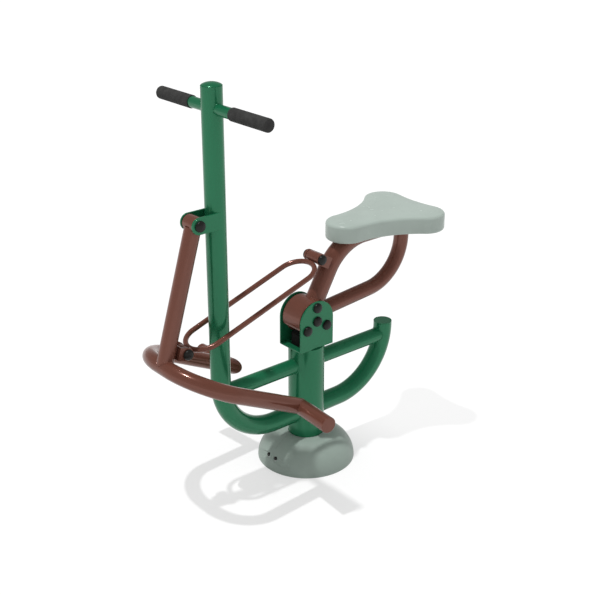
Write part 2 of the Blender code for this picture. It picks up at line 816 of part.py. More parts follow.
def hub_flanges(frame):
    """The two discs that centre the axle. Each is bolted to its plate inside the drum's end."""
    bore = AXLE_DIAMETER / 2 + GAP
    boss_end = bearing_outer_face() + GAP
    profile = [(bore, boss_end), (FLANGE_BOSS_RADIUS, boss_end), (FLANGE_BOSS_RADIUS, FLANGE_INNER)]
    profile += [(FLANGE_RADIUS, FLANGE_INNER), (FLANGE_RADIUS, HUB_INNER - GAP), (bore, HUB_INNER - GAP)]
    for name, turn in (("hub_flange_left", STANDING), ("hub_flange_right", STANDING_BACK)):
        piece = frame.add(name, turned(profile), zinc_steel, HUB, turn)
        holes = []
        for place in hub_bolt_places()[1:]:
            hole = cylinder(HUB_BOLT / 2 + GAP, -HUB_HALF_WIDTH, HUB_HALF_WIDTH, SMALL_SIDES)
            holes.append((hole, moved(*place, STANDING)))
        cut(piece, name + "_holes", merge(holes))


def bearing_outer_face():
    return HOUSING_HALF_LENGTH - WELD_CLEARANCE


def hub_fasteners(frame):
    """Four bolts on each side of the hub, under domed caps: the axle's and three round it."""
    for side, turn, y in (("left", STANDING, -HUB_HALF_WIDTH), ("right", STANDING_BACK, HUB_HALF_WIDTH)):
        for number, place in enumerate(hub_bolt_places(), 1):
            mesh = capped_bolt(HUB_BOLT, bolt_reach())
            name = "hub_bolt_%s_%d" % (side, number)
            frame.add(name, mesh, cap_plastic, Vector((place.x, y, place.z)), turn)


def polar(radius, angle_deg):
    """A point of the hub's outline. The angle runs from straight down towards the seat."""
    angle = math.radians(angle_deg)
    return (radius * math.sin(angle), HUB_LEVEL - radius * math.cos(angle))


def sector(inner, outer, start_deg, end_deg):
    """The outline of a part of a ring round the hub's axis."""
    steps = max(1, math.ceil(abs(end_deg - start_deg) / ARC_STEP_DEG))
    angles = [start_deg + (end_deg - start_deg) * index / steps for index in range(steps + 1)]
    return [polar(outer, angle) for angle in angles] + [polar(inner, angle) for angle in angles[::-1]]


def hub_stops(frame):
    """The stop block on the base plate and its two rubber buffers."""
    top = STOP_TOP_RADIUS
    bottom = DRUM_RADIUS + STOP_REACH
    foot = HUB_FOOT + HUB_PLATE_THICKNESS + GAP
    shoulder_x = polar(bottom, STOP_HALF_ANGLE_DEG)[0]
    outline = [(-shoulder_x, foot), (shoulder_x, foot)]
    outline += [polar(bottom, STOP_HALF_ANGLE_DEG), polar(top, STOP_HALF_ANGLE_DEG)]
    outline += [polar(top, -STOP_HALF_ANGLE_DEG), polar(bottom, -STOP_HALF_ANGLE_DEG)]
    mesh = prism(outline, -STOP_HALF_WIDTH, STOP_HALF_WIDTH)
    frame.add("stop_block", mesh, green_paint, turn=STANDING)
    start = STOP_HALF_ANGLE_DEG + math.degrees(GAP / top)
    end = STOP_HALF_ANGLE_DEG + BUFFER_ANGLE_DEG
    for name, side in (("stop_buffer_front", -1), ("stop_buffer_rear", 1)):
        outline = [polar(top, side * start), polar(top, side * end), polar(bottom, side * end)]
        outline += [(polar(bottom, side * end)[0], foot), (side * (shoulder_x + GAP), foot)]
        outline.append((side * (shoulder_x + GAP), polar(bottom, side * start)[1]))
        pad = prism(outline, -STOP_HALF_WIDTH, STOP_HALF_WIDTH)
        frame.add(name, pad, black_rubber, turn=STANDING)


def lever_hub(lever):
    """The barrel on the lever's pin, with the spigot that fills the top of the lever tube."""
    flange_face = FRAME_RADIUS - CLEVIS_THICKNESS - GAP
    half = flange_face - BUSH_FLANGE - GAP
    piece = lever.add("lever_hub", cylinder(LEVER_BARREL / 2, -half, half), brown_paint, LEVER_AXIS, STANDING)
    plug = LEVER_TUBE / 2 - LEVER_WALL - GAP
    spigot = cylinder(plug, 0, LEVER_SPIGOT_END)
    cut_with(piece, hidden("lever_spigot", spigot, LEVER_AXIS, toward(LEVER_DOWN)), "UNION")
    bore = LEVER_PIN / 2 + GAP + BUSH_WALL + GAP
    cross_hole(piece, "lever_hub_bore", LEVER_AXIS, bore, half + OVERRUN)
    names = ("lever_bush_left", "lever_bush_right")
    add_bushes(lever, names, LEVER_AXIS, flange_face, LEVER_PIN, LEVER_BARREL / 2 - WELD_CLEARANCE)


def bow_path():
    """The centre line of the foot bow, from the left mitre round the front to the right one."""
    middle = BOW_APEX + BOW_BACK * BOW_BEND_RADIUS
    spread = ACROSS * (BOW_HALF_WIDTH - BOW_BEND_RADIUS)
    left_bend = arc(middle - spread, -BOW_BACK, ACROSS, BOW_BEND_RADIUS, -90, 0)
    right_bend = arc(middle + spread, -BOW_BACK, ACROSS, BOW_BEND_RADIUS, 0, 90)
    left = left_bend[0] + BOW_BACK * BOW_ARM_LENGTH
    right = right_bend[-1] + BOW_BACK * BOW_ARM_LENGTH
    return [left] + left_bend + right_bend + [right]


def bow_normal():
    return BOW_BACK.cross(ACROSS).normalized()


def peg_direction(side):
    sweep = math.radians(PEG_SWEEP_DEG)
    lift = math.radians(PEG_LIFT_DEG)
    return Vector((-math.sin(sweep), side * math.cos(sweep) * math.cos(lift), math.sin(lift))).normalized()


def lever_tube(lever):
    """The straight tube from its barrel down to the bow, with the bracket that holds the link."""
    path = [LEVER_AXIS + LEVER_DOWN * LEVER_TUBE_START, BOW_APEX]
    radius = LEVER_TUBE / 2
    mesh = tube(lever.local(path), ACROSS, radius, radius - LEVER_WALL)
    piece = lever.add("lever_tube", mesh, brown_paint)
    cut(piece, "lever_tube_foot", tube(bow_path(), bow_normal(), radius + 2 * GAP))
    cut(piece, "lever_tube_top", cylinder(LEVER_BARREL / 2 + GAP, -LEVER_TUBE, LEVER_TUBE), LEVER_AXIS, STANDING)
    foot = FRONT_PIVOT - LEVER_BACK * (FRONT_LINK_OFFSET - radius + BRACKET_SINK)
    add_bracket(piece, "front", FRONT_PIVOT, foot, FRONT_EAR_RADIUS, FRONT_EAR_HALF_WIDTH)
    pin = cross_pin(FRONT_EAR_HALF_WIDTH, LINK_PIN)
    lever.add("front_link_pin", pin, cap_plastic, FRONT_PIVOT, STANDING)


def foot_bow(lever):
    """The bent foot bar, mitred to a peg on each side."""
    path = bow_path()
    path[0] = path[0] - BOW_BACK * GAP
    path[-1] = path[-1] - BOW_BACK * GAP
    radius = LEVER_TUBE / 2
    mesh = tube(lever.local(path), bow_normal(), radius, radius - LEVER_WALL,
                start_face=mitre_face(-1), end_face=mitre_face(1))
    lever.add("foot_bow", mesh, brown_paint)


def mitre_face(side):
    """The normal of the mitre between the bow and a peg."""
    return (BOW_BACK + peg_direction(side)).normalized()


def foot_peg(lever, name, side):
    """A straight foot rest, mitred to the bow and closed at its outer end."""
    corner = bow_path()[0 if side < 0 else -1]
    direction = peg_direction(side)
    path = [corner, corner + direction * PEG_LENGTH]
    across = direction.cross(BOW_BACK).normalized()
    radius = LEVER_TUBE / 2
    mesh = tube(lever.local(path), across, radius, radius - LEVER_WALL,
                start_face=mitre_face(side), end_wall=PEG_CAP_EDGE)
    lever.add(name, mesh, brown_paint)


def add_bracket(piece, name, pivot, foot, radius, half_width):
    """Welds a U-shaped bracket to a tube. Its web stands on the tube at foot, its two ears hold the pin."""
    outward = (pivot - foot).normalized()
    upward = ACROSS.cross(outward)
    corners = [foot - upward * radius] + arc(pivot, outward, upward, radius, -90, 90) + [foot + upward * radius]
    bracket = hidden(name + "_bracket", prism(in_plane(corners), -half_width, half_width), turn=STANDING)
    inner = foot + outward * BRACKET_WEB
    outer = pivot + outward * (radius + OVERRUN)
    reach = upward * (radius + OVERRUN)
    room = in_plane([inner - reach, outer - reach, outer + reach, inner + reach])
    inside = half_width - EAR_THICKNESS
    cut(bracket, name + "_bracket_room", prism(room, -inside, inside), turn=STANDING)
    cut_with(piece, bracket, "UNION")
    cross_hole(piece, name + "_bracket_hole", pivot, LINK_PIN / 2 + GAP, half_width + OVERRUN)


def in_plane(points):
    """Points of the machine's middle plane as an outline for a standing prism."""
    return [(point.x, point.z) for point in points]


def link_line():
    """Both barrels' axes and the unit vector from the front one to the rear one."""
    return FRONT_PIVOT, REAR_PIVOT, (REAR_PIVOT - FRONT_PIVOT).normalized()


def link_loop(link):
    """The loop of round bar that goes round the pillar, between its two barrels."""
    front, rear, along = link_line()
    contact = LINK_BARREL / 2 + GAP + LINK_ROD / 2
    apex = math.sqrt(contact ** 2 - LINK_DROP ** 2)
    down = along.cross(ACROSS).normalized() * -LINK_DROP
    front_middle = front + along * (apex + LINK_HALF_WIDTH) + down
    rear_middle = rear - along * (apex + LINK_HALF_WIDTH) + down
    path = arc(front_middle, -along, ACROSS, LINK_HALF_WIDTH, -90, 90)
    path += arc(rear_middle, along, ACROSS, LINK_HALF_WIDTH, 90, -90)
    mesh = tube(link.local(path), along.cross(ACROSS).normalized(), LINK_ROD / 2, closed=True, sides=ROD_SIDES)
    link.add("link_loop", mesh, brown_paint)


def link_barrels(link):
    flange_face = FRONT_EAR_HALF_WIDTH - EAR_THICKNESS - GAP
    front_half = flange_face - BUSH_FLANGE - GAP
    front_bore = LINK_PIN / 2 + GAP + BUSH_WALL + GAP
    mesh = pipe(LINK_BARREL / 2, front_bore, -front_half, front_half)
    link.add("link_front_barrel", mesh, brown_paint, FRONT_PIVOT, STANDING)
    names = ("link_bush_left", "link_bush_right")
    add_bushes(link, names, FRONT_PIVOT, flange_face, LINK_PIN, LINK_BARREL / 2 - WELD_CLEARANCE)
    rear_half = REAR_EAR_HALF_WIDTH - EAR_THICKNESS - LINK_SIDE_CLEARANCE
    rear_bore = LINK_PIN / 2 + OPEN_PIVOT_CLEARANCE
    mesh = pipe(LINK_BARREL / 2, rear_bore, -rear_half, rear_half)
    link.add("link_rear_barrel", mesh, brown_paint, REAR_PIVOT, STANDING)


def seat_hub(arm):
    """The drum on the bearings: a rim open below round the stop block, two webs and a housing."""
    web = HOUSING_HALF_LENGTH
    rim = DRUM_HALF_LENGTH
    profile = [(HOUSING_BORE, -web), (DRUM_INNER_RADIUS, -web), (DRUM_INNER_RADIUS, -rim)]
    profile += [(DRUM_RADIUS, -rim), (DRUM_RADIUS, rim), (DRUM_INNER_RADIUS, rim)]
    profile += [(DRUM_INNER_RADIUS, web), (HOUSING_BORE, web)]
    piece = arm.add("seat_hub", turned(profile, BIG_SIDES), brown_paint, HUB, STANDING)
    room = web - WEB_THICKNESS
    cut(piece, "drum_room", pipe(DRUM_INNER_RADIUS, HOUSING_RADIUS, -room, room, BIG_SIDES), HUB, STANDING)
    edge = STOP_HALF_ANGLE_DEG + BUFFER_ANGLE_DEG + math.degrees(GAP / DRUM_RADIUS)
    slot = sector(HOUSING_RADIUS + GAP, DRUM_RADIUS + OVERRUN, -edge - SEAT_TRAVEL_DEG, edge)
    mouth = sector(DRUM_INNER_RADIUS - GAP, DRUM_RADIUS + OVERRUN, -edge - SEAT_TRAVEL_DEG, edge)
    length = rim + OVERRUN
    cut(piece, "drum_mouth", prism(mouth, -length, length), turn=STANDING)
    cut(piece, "drum_slot", prism(slot, -room, room), turn=STANDING)


def hub_bearings(arm):
    """Two ball bearings on the axle, with their shields set back from their races."""
    inner = AXLE_DIAMETER / 2 + GAP
    outer = BEARING_OUTER / 2
    outer_face = bearing_outer_face()
    inner_face = outer_face - BEARING_WIDTH
    low = inner_face + BEARING_SHIELD
    high = outer_face - BEARING_SHIELD
    profile = [(inner, inner_face), (inner + BEARING_RACE, inner_face), (inner + BEARING_RACE, low)]
    profile += [(outer - BEARING_RACE, low), (outer - BEARING_RACE, inner_face), (outer, inner_face)]
    profile += [(outer, outer_face), (outer - BEARING_RACE, outer_face), (outer - BEARING_RACE, high)]
    profile += [(inner + BEARING_RACE, high), (inner + BEARING_RACE, outer_face), (inner, outer_face)]
    for name, turn in (("hub_bearing_left", STANDING), ("hub_bearing_right", STANDING_BACK)):
        arm.add(name, turned(profile), zinc_steel, HUB, turn)


def upper_arm_path(start):
    """The centre line of the upper arm tube, from near the hub to its end under the seat."""
    base = HUB + Vector((-ARM_UP.z, 0, ARM_UP.x)) * -ARM_OFFSET
    rise = (ARM_LEVEL - base.z) / ARM_UP.z
    corner = base + ARM_UP * rise
    end = Vector((LOWER_ARM_REACH, 0, ARM_LEVEL))
    return bent([base + ARM_UP * start, corner, end], ARM_BEND_RADIUS)


def lower_arm_path(start):
    slope = math.tan(math.radians(LOWER_ARM_RISE_DEG))
    corner = Vector((LOWER_ARM_REACH, 0, LOWER_ARM_LEVEL + LOWER_ARM_REACH * slope))
    first = Vector((start, 0, LOWER_ARM_LEVEL + start * slope))
    top = Vector((LOWER_ARM_REACH, 0, ARM_TOP))
    return bent([first, corner, top], LOWER_ARM_BEND_RADIUS)


def arm_tubes(arm):
    """The two tubes from the drum to the seat. The upper one ends on the lower one."""
    upper_radius = UPPER_ARM_TUBE / 2
    lower_radius = LOWER_ARM_TUBE / 2
    inside_drum = DRUM_INNER_RADIUS / 2
    upper_path = upper_arm_path(inside_drum)
    lower_path = lower_arm_path(inside_drum)
    upper_mesh = tube(arm.local(upper_path), ACROSS, upper_radius, upper_radius - UPPER_ARM_WALL)
    upper = arm.add("upper_arm_tube", upper_mesh, brown_paint)
    lower_mesh = tube(arm.local(lower_path), ACROSS, lower_radius, lower_radius - LOWER_ARM_WALL)
    lower = arm.add("lower_arm_tube", lower_mesh, brown_paint)
    drum = cylinder(DRUM_RADIUS + GAP, -DRUM_RADIUS, DRUM_RADIUS, BIG_SIDES)
    drum_guide = cut(upper, "arm_drum", drum, HUB, STANDING)
    cut_with(lower, drum_guide)
    rear_end = cylinder(lower_radius + GAP, -UPPER_ARM_TUBE, UPPER_ARM_TUBE)
    cut(upper, "upper_arm_end", rear_end, Vector((LOWER_ARM_REACH, 0, ARM_LEVEL)))
    upper_guide = hidden("upper_arm", tube(upper_path[:2], ACROSS, upper_radius + GAP))
    cut_with(lower, upper_guide)
    beside = upper_path[0] + ARM_UP * (REAR_PIVOT - upper_path[0]).dot(ARM_UP)
    foot = beside + (REAR_PIVOT - beside).normalized() * (upper_radius - BRACKET_SINK)
    add_bracket(upper, "rear", REAR_PIVOT, foot, REAR_EAR_RADIUS, REAR_EAR_HALF_WIDTH)
    pin = cross_pin(REAR_EAR_HALF_WIDTH, LINK_PIN)
    arm.add("rear_link_pin", pin, cap_plastic, REAR_PIVOT, STANDING)


def seat_outline(inset):
    """The seat's outline, drawn in by inset: a nose and two lobes joined by hollow arcs."""
    nose = Vector((SEAT_NOSE_X, 0))
    lobe = Vector((SEAT_LOBE_X, SEAT_LOBE_Y))
    nose_radius = SEAT_NOSE_RADIUS - inset
    lobe_radius = SEAT_LOBE_RADIUS - inset
    waist_radius = SEAT_WAIST_RADIUS + inset
    back_radius = SEAT_BACK_RADIUS + inset
    span = (lobe - nose).length
    from_nose = nose_radius + waist_radius
    from_lobe = lobe_radius + waist_radius
    share = (from_nose ** 2 - from_lobe ** 2 + span ** 2) / (2 * span)
    along = (lobe - nose).normalized()
    square = Vector((-along.y, along.x))
    waist = nose + along * share + square * math.sqrt(from_nose ** 2 - share ** 2)
    back = Vector((lobe.x + math.sqrt((lobe_radius + back_radius) ** 2 - lobe.y ** 2), 0))
    half = outline_arc(nose, nose_radius, Vector((-1, 0)), waist - nose, 6)
    half += outline_arc(waist, waist_radius, nose - waist, lobe - waist, 4)[1:]
    half += outline_arc(lobe, lobe_radius, waist - lobe, back - lobe, 7)[1:]
    half += outline_arc(back, back_radius, lobe - back, Vector((-1, 0)), 2)[1:]
    mirrored = [Vector((point.x, -point.y)) for point in half[-2:0:-1]]
    return half + mirrored


def outline_arc(centre, radius, first, last, steps):
    """An arc from one direction to another, the short way round."""
    start = math.degrees(math.atan2(first.y, first.x))
    turn = (math.degrees(math.atan2(last.y, last.x)) - start + 180) % 360 - 180
    return flat_arc(centre, radius, start, start + turn, steps)


def seat(arm):
    """The seat moulding: rounded above and below, crowned, with a pocket for its plate."""
    levels = []
    for point in flat_arc((0, 0), SEAT_BOTTOM_ROUNDING, 270, 360, 2):
        levels.append((SEAT_BOTTOM_ROUNDING - point.x, SEAT_BOTTOM + SEAT_BOTTOM_ROUNDING + point.y))
    rim = SEAT_TOP - SEAT_CROWN
    for point in flat_arc((0, 0), SEAT_TOP_ROUNDING, 0, 80, 4):
        levels.append((SEAT_TOP_ROUNDING - point.x, rim - SEAT_TOP_ROUNDING + point.y))
    levels.append((SEAT_SHOULDER_INSET, rim + SEAT_SHOULDER_RISE))
    levels.append((SEAT_CROWN_INSET, SEAT_TOP))
    mesh = bmesh.new()
    rings = []
    for inset, level in levels:
        rings.append([mesh.verts.new((x - HUB.x, y, level - HUB.z)) for x, y in seat_outline(inset)])
    for first, second in zip(rings, rings[1:]):
        join_rings(mesh, first, second)
    mesh.faces.new(rings[0])
    mesh.faces.new(rings[-1])
    piece = arm.add("seat", mesh, seat_plastic)
    half = SEAT_PLATE_WIDTH / 2 + SEAT_POCKET_MARGIN
    front = SEAT_PLATE_FRONT - SEAT_POCKET_MARGIN
    back = SEAT_PLATE_BACK + SEAT_POCKET_MARGIN
    pocket = prism(rectangle(front, back, -half, half), SEAT_BOTTOM - OVERRUN, SEAT_PLATE_TOP + GAP)
    cut(piece, "seat_pocket", pocket)
    room = UPPER_ARM_TUBE / 2 + SEAT_TUBE_ROOM
    cut(piece, "seat_tube_room", tube(upper_arm_path(DRUM_RADIUS), ACROSS, room))
    holes = []
    top = SEAT_PLATE_TOP + SEAT_BOLT_GRIP + GAP
    for x, y in seat_bolt_places():
        hole = cylinder(SEAT_BOLT / 2 + GAP, SEAT_PLATE_TOP - OVERRUN, top, SMALL_SIDES)
        holes.append((hole, moved(x, y, 0)))
    cut(piece, "seat_bolt_holes", merge(holes))


def seat_bolt_places():
    x_front = SEAT_PLATE_FRONT + SEAT_BOLT_INSET
    x_back = SEAT_PLATE_BACK - SEAT_BOLT_INSET
    y = SEAT_PLATE_WIDTH / 2 - SEAT_BOLT_INSET
    return [(x_front, -y), (x_back, -y), (x_back, y), (x_front, y)]


def seat_fixings(arm):
    """The plate on the arm tubes, with the four studs that go up into the seat."""
    half = SEAT_PLATE_WIDTH / 2
    low = SEAT_PLATE_BOTTOM - HUB.z
    outline = rectangle(SEAT_PLATE_FRONT, SEAT_PLATE_BACK, -half, half)
    piece = arm.add("seat_plate", prism(outline, low, low + SEAT_PLATE_THICKNESS), brown_paint)
    studs = []
    for x, y in seat_bolt_places():
        radius = SEAT_BOLT / 2
        under = SEAT_PLATE_BOTTOM - SEAT_BOLT_HEAD_HEIGHT
        top = SEAT_PLATE_TOP + SEAT_BOLT_GRIP
        profile = [(0, under), (SEAT_BOLT_HEAD, under), (SEAT_BOLT_HEAD, SEAT_PLATE_BOTTOM + GAP)]
        profile += [(radius, SEAT_PLATE_BOTTOM + GAP), (radius, top), (0, top)]
        studs.append((turned(profile, ROD_SIDES), moved(x, y, 0)))
    cut_with(piece, hidden("seat_studs", merge(studs)), "UNION")


def build():
    for thing in list(bpy.data.objects):
        bpy.data.objects.remove(thing)
    frame = Body("frame_origin", Vector())
    lever = Body("foot_lever_axis", LEVER_AXIS, frame)
    link = Body("link_axis", FRONT_PIVOT, lever)
    arm = Body("seat_arm_axis", HUB, frame)

    anchor_plate(frame)
    anchor_bolts(frame)
    half_cover(frame, "cover_left", -1)
    half_cover(frame, "cover_right", 1)
    cover_joints(frame)
    post(frame)
    front_tube(frame)
    rear_tube(frame)
    brace(frame, "front_brace", -PILLAR_REACH, PILLAR_TOP)
    brace(frame, "rear_brace", REAR_REACH, REAR_TOP)
    frame_caps(frame)
    handlebar(frame)
    grip(frame, "left_grip", STANDING)
    grip(frame, "right_grip", STANDING_BACK)
    lever_clevis(frame, "lever_clevis_left", -1)
    lever_clevis(frame, "lever_clevis_right", 1)
    lever_joint(frame)
    hub_plate(frame, "hub_plate_left", -1)
    hub_plate(frame, "hub_plate_right", 1)
    hub_base(frame)
    hub_axle(frame)
    hub_flanges(frame)
    hub_fasteners(frame)
    hub_stops(frame)

    lever_hub(lever)
    lever_tube(lever)
    foot_bow(lever)
    foot_peg(lever, "left_foot_peg", -1)
    foot_peg(lever, "right_foot_peg", 1)

    link_loop(link)
    link_barrels(link)

    seat_hub(arm)
    hub_bearings(arm)
    arm_tubes(arm)
    seat(arm)
    seat_fixings(arm)
    bpy.context.view_layer.update()


build()
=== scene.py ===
"""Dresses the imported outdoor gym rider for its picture: smooth painted tubes with their welds, the moulded
seat and ground cover, grips, domed caps and pivots, and the studio round them.

Metres, +Z up. The origin is on the ground on the post's axis, the seat lies towards +X, the handlebar
towards -X, and -Y is on the rider's left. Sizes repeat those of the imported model.
"""
from math import asin, atan2, ceil, copysign, cos, degrees, hypot, pi, radians, sin, sqrt, tan, tau

import bmesh
import bpy
from mathutils import Matrix, Vector


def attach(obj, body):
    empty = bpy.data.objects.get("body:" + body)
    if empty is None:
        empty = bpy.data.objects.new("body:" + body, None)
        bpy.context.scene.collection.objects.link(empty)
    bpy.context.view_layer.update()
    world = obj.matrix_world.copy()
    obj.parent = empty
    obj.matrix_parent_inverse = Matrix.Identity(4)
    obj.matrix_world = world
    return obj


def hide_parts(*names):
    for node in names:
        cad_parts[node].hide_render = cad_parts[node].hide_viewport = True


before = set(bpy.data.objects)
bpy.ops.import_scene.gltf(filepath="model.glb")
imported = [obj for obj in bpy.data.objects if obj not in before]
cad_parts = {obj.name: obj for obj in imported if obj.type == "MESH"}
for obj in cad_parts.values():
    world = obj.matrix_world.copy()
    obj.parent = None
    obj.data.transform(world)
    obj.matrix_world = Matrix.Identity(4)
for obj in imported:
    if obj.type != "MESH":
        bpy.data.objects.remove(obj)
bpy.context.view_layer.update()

# Gap between neighbouring pieces
FIT = 0.0003

# Tubes: outer radii
POST_RADIUS = 0.05715
FRAME_RADIUS = 0.03015
BRACE_RADIUS = 0.02415
BAR_RADIUS = 0.0159
LEVER_RADIUS = 0.02415
UPPER_ARM_RADIUS = 0.03015
LOWER_ARM_RADIUS = 0.02415
ROD_RADIUS = 0.008

# Post and ground cover
POST_FOOT = 0.0143
POST_TOP = 0.3977
COVER_RADIUS = 0.156
COVER_HEIGHT = 0.090
COVER_WALL = 0.004
COVER_FIT = 0.0006
COVER_SEAM = 0.00015
SCREW_LEVEL = 0.040
SCREW_OFFSET = 0.017
SCREW_HOLE_RADIUS = 0.0063
SCREW_HEAD_DEPTH = 0.006
SCREW_HEAD_SUNK = 0.0016
SCREW_HEAD_RISE = 0.0012
CHANNEL_LENGTH = 0.058
CHANNEL_DROP = 0.012
CHANNEL_HALF_WIDTH = 0.0085
CHANNEL_DEPTH = 0.0034
CHANNEL_FADE = 0.75
CHANNEL_BAND_DEG = (12.0, 36.0)

# Fixed frame
PILLAR_REACH = 0.332
REAR_REACH = 0.332
KEEL_LEVEL = 0.166
KEEL_BEND = 0.200
PILLAR_TOP = 1.256
REAR_TOP = 0.3755
BRACE_LEVEL = 0.334
CAP_EDGE = 0.004
PLUG_DEPTH = 0.004
PILLAR_DOME = 0.0095
BAR_LEVEL = 1.195
BAR_HALF_LENGTH = 0.241
GRIP_RADIUS = 0.0185
GRIP_START = 0.092
GRIP_END = 0.245
GRIP_ROUNDING = 0.0045

# Lever joint on the pillar
LEVER_AXIS = Vector((-0.406, 0, 0.886))
CLEVIS_RADIUS = 0.0248
CLEVIS_THICKNESS = 0.0055
LEVER_PIN_RADIUS = 0.007
LEVER_BARREL_RADIUS = 0.023
LEVER_TUBE_START = 0.0105
BUSH_FLANGE = 0.0015
BUSH_LENGTH = 0.016
BUSH_SEAT = 0.0036
FLANGE_INSET = 0.002

# Hub on the post
HUB = Vector((0, 0, 0.490))
HUB_PLATE_RADIUS = 0.0655
HUB_PLATE_THICKNESS = 0.005
HUB_HALF_WIDTH = 0.051
HUB_FOOT = 0.398
HUB_BOLT_CIRCLE = 0.0448
HUB_BOLT_ARC_DEG = (90, 330)
HUB_BOLT_RADIUS = 0.006
DRUM_RADIUS = 0.062
DRUM_INNER_RADIUS = 0.057
DRUM_HALF_LENGTH = 0.040
DRUM_WEB_OUTER = 0.0327
DRUM_WEB_INNER = 0.0267
HOUSING_BORE = 0.0238
HOUSING_RADIUS = 0.0293
DRUM_RIM_DEG = (-46.7, 198.7)
CAP_HEIGHT = 0.0110
CAP_EDGE_SHARE = 0.34
CAP_RADIUS = 0.0160

# Foot lever, foot bow and pegs
LEVER_TILT_DEG = 16.6
LEVER_LENGTH = 0.418
BOW_SLOPE_DEG = 26.6
BOW_HALF_WIDTH = 0.1715
BOW_BEND = 0.150
BOW_ARM = 0.248
PEG_LENGTH = 0.145
PEG_SWEEP_DEG = 5.5
PEG_LIFT_DEG = 1.5
PEG_EDGE = 0.002

# Link
FRONT_PIVOT_ALONG = 0.3706
FRONT_PIVOT_OFF = 0.0520
REAR_PIVOT = Vector((0.033, 0, 0.678))
FRONT_EAR_RADIUS = 0.0195
FRONT_EAR_HALF_WIDTH = 0.029
REAR_EAR_RADIUS = 0.018
REAR_EAR_HALF_WIDTH = 0.032
EAR_THICKNESS = 0.008
LINK_PIN_RADIUS = 0.006
LINK_BARREL_RADIUS = 0.017
LINK_HALF_WIDTH = 0.060
LINK_DROP = 0.005
BRACKET_WEB = 0.006
BRACKET_SINK = 0.0015
FRONT_BARREL_HALF = 0.0189
REAR_BARREL_HALF = 0.0233
REAR_BARREL_BORE = 0.0135
BUSH_BORE_SLACK = 0.0003
BUSH_WALL = 0.003

# Seat arm
ARM_TILT_DEG = 60.5
ARM_OFFSET = 0.0063
ARM_LEVEL = 0.710
ARM_BEND = 0.170
LOWER_ARM_LEVEL = 0.491
LOWER_ARM_RISE_DEG = 4.86
LOWER_ARM_BEND = 0.152
LOWER_ARM_REACH = 0.403
ARM_TOP = 0.7400
ARM_ROOT = 0.047

# Seat
SEAT_NOSE = Vector((0.160, 0))
SEAT_LOBE = Vector((0.4095, 0.0925))
SEAT_END_RADIUS = 0.0645
SEAT_WAIST_RADIUS = 0.286
SEAT_BACK_RADIUS = 0.367
SEAT_BOTTOM = 0.712
SEAT_TOP = 0.772
SEAT_CROWN = 0.003
SEAT_CROWN_INSET = 0.060
SEAT_TOP_ROUNDING = 0.011
SEAT_BOTTOM_ROUNDING = 0.007

# Welds and edges
BEAD_RADIUS = 0.0022
BRACKET_BEAD_OFF = 0.0105
BRACKET_BEAD_SHARE = 0.94
SMALL_BEAD_RADIUS = 0.0013
BEAD_RIPPLE = 0.09
BEAD_PITCH = 0.0055
EDGE_ROUNDING = 0.0009
TURNED_EDGE = 0.0008

# Facets
ROUND_SIDES = 72
POST_SIDES = 120
SMALL_SIDES = 64
BOLT_SIDES = 48
SCREW_SIDES = 40
ROD_SIDES = 32
BEAD_SIDES = 10
SEAM_STEPS = 96
COVER_STEPS = 260
ARC_STEP_DEG = 3
FLAT_SHARP_DEG = 32
COVER_SHARP_DEG = 40
PLATE_EASE_DEG = 50
BEAD_SHARP_DEG = 60

# Studio
CAMERA_PLACE = Vector((-1.97668, -2.32101, 1.87990))
CAMERA_HEADING_DEG = -39.90
CAMERA_PITCH_DEG = 23.52
CAMERA_LENS = 65.44
SENSOR = 36.0
FLAKE_SHARE = 0.30
FLOOR_SIZE = 60.0
FLOOR_DROP = 0.0002
SKY_STRENGTH = 0.70
KEY_SHARE = 0.60
KEY_TRAVEL = Vector((0.206, -0.085, -1.0))
KEY_ANGLE_DEG = 1.4
FLOOR_WHITE = 1.06
FLOOR_NEAR = 0.41
FLOOR_FAR = 0.19
FLOOR_BOUNCE = 0.70
CEILING_STEPS = [(0.0, 0.60), (0.17, 0.50), (0.35, 0.36), (0.65, 0.24), (0.9, 0.17)]
FLOOR_FADE_START = 0.04
FLOOR_FADE_END = 0.40
DIRECT_RAYS = ("Is Camera Ray", "Is Glossy Ray", "Is Transmission Ray")

# Worked out from the sizes above
COVER_NECK = POST_RADIUS + COVER_FIT
SCENE = bpy.context.scene
ACROSS = Vector((0, 1, 0))
UP = Vector((0, 0, 1))
STANDING = Matrix.Rotation(pi / 2, 4, "X")
STANDING_BACK = Matrix.Rotation(-pi / 2, 4, "X")
LYING = Matrix.Rotation(pi / 2, 4, "Y")


def heading(angle_deg):
    """The direction in the middle plane at an angle above the seat's way."""
    return Vector((cos(radians(angle_deg)), 0, sin(radians(angle_deg))))


LEVER_DOWN = heading(270 - LEVER_TILT_DEG)
LEVER_BACK = heading(-LEVER_TILT_DEG)
FRONT_PIVOT = LEVER_AXIS + LEVER_DOWN * FRONT_PIVOT_ALONG + LEVER_BACK * FRONT_PIVOT_OFF
BOW_APEX = LEVER_AXIS + LEVER_DOWN * LEVER_LENGTH
BOW_BACK = heading(-BOW_SLOPE_DEG)
ARM_UP = heading(ARM_TILT_DEG)


# Node helpers

def feed(tree, socket, value):
    """Sets a socket, or links it when the value is a socket too."""
    if isinstance(value, bpy.types.NodeSocket):
        tree.links.new(value, socket)
    else:
        socket.default_value = value


def add_node(tree, kind, **settings):
    """A node with its sockets and its other settings given by name."""
    node = tree.nodes.new(kind)
    for key, value in settings.items():
        label = key.replace("_", " ").title()
        if label in node.inputs:
            feed(tree, node.inputs[label], value)
        else:
            setattr(node, key, value)
    return node


def computed(tree, operation, *values):
    """The result of a Math node. Each value may be a socket."""
    node = add_node(tree, "ShaderNodeMath", operation=operation)
    for socket, value in zip(node.inputs, values):
        feed(tree, socket, value)
    return node.outputs[0]


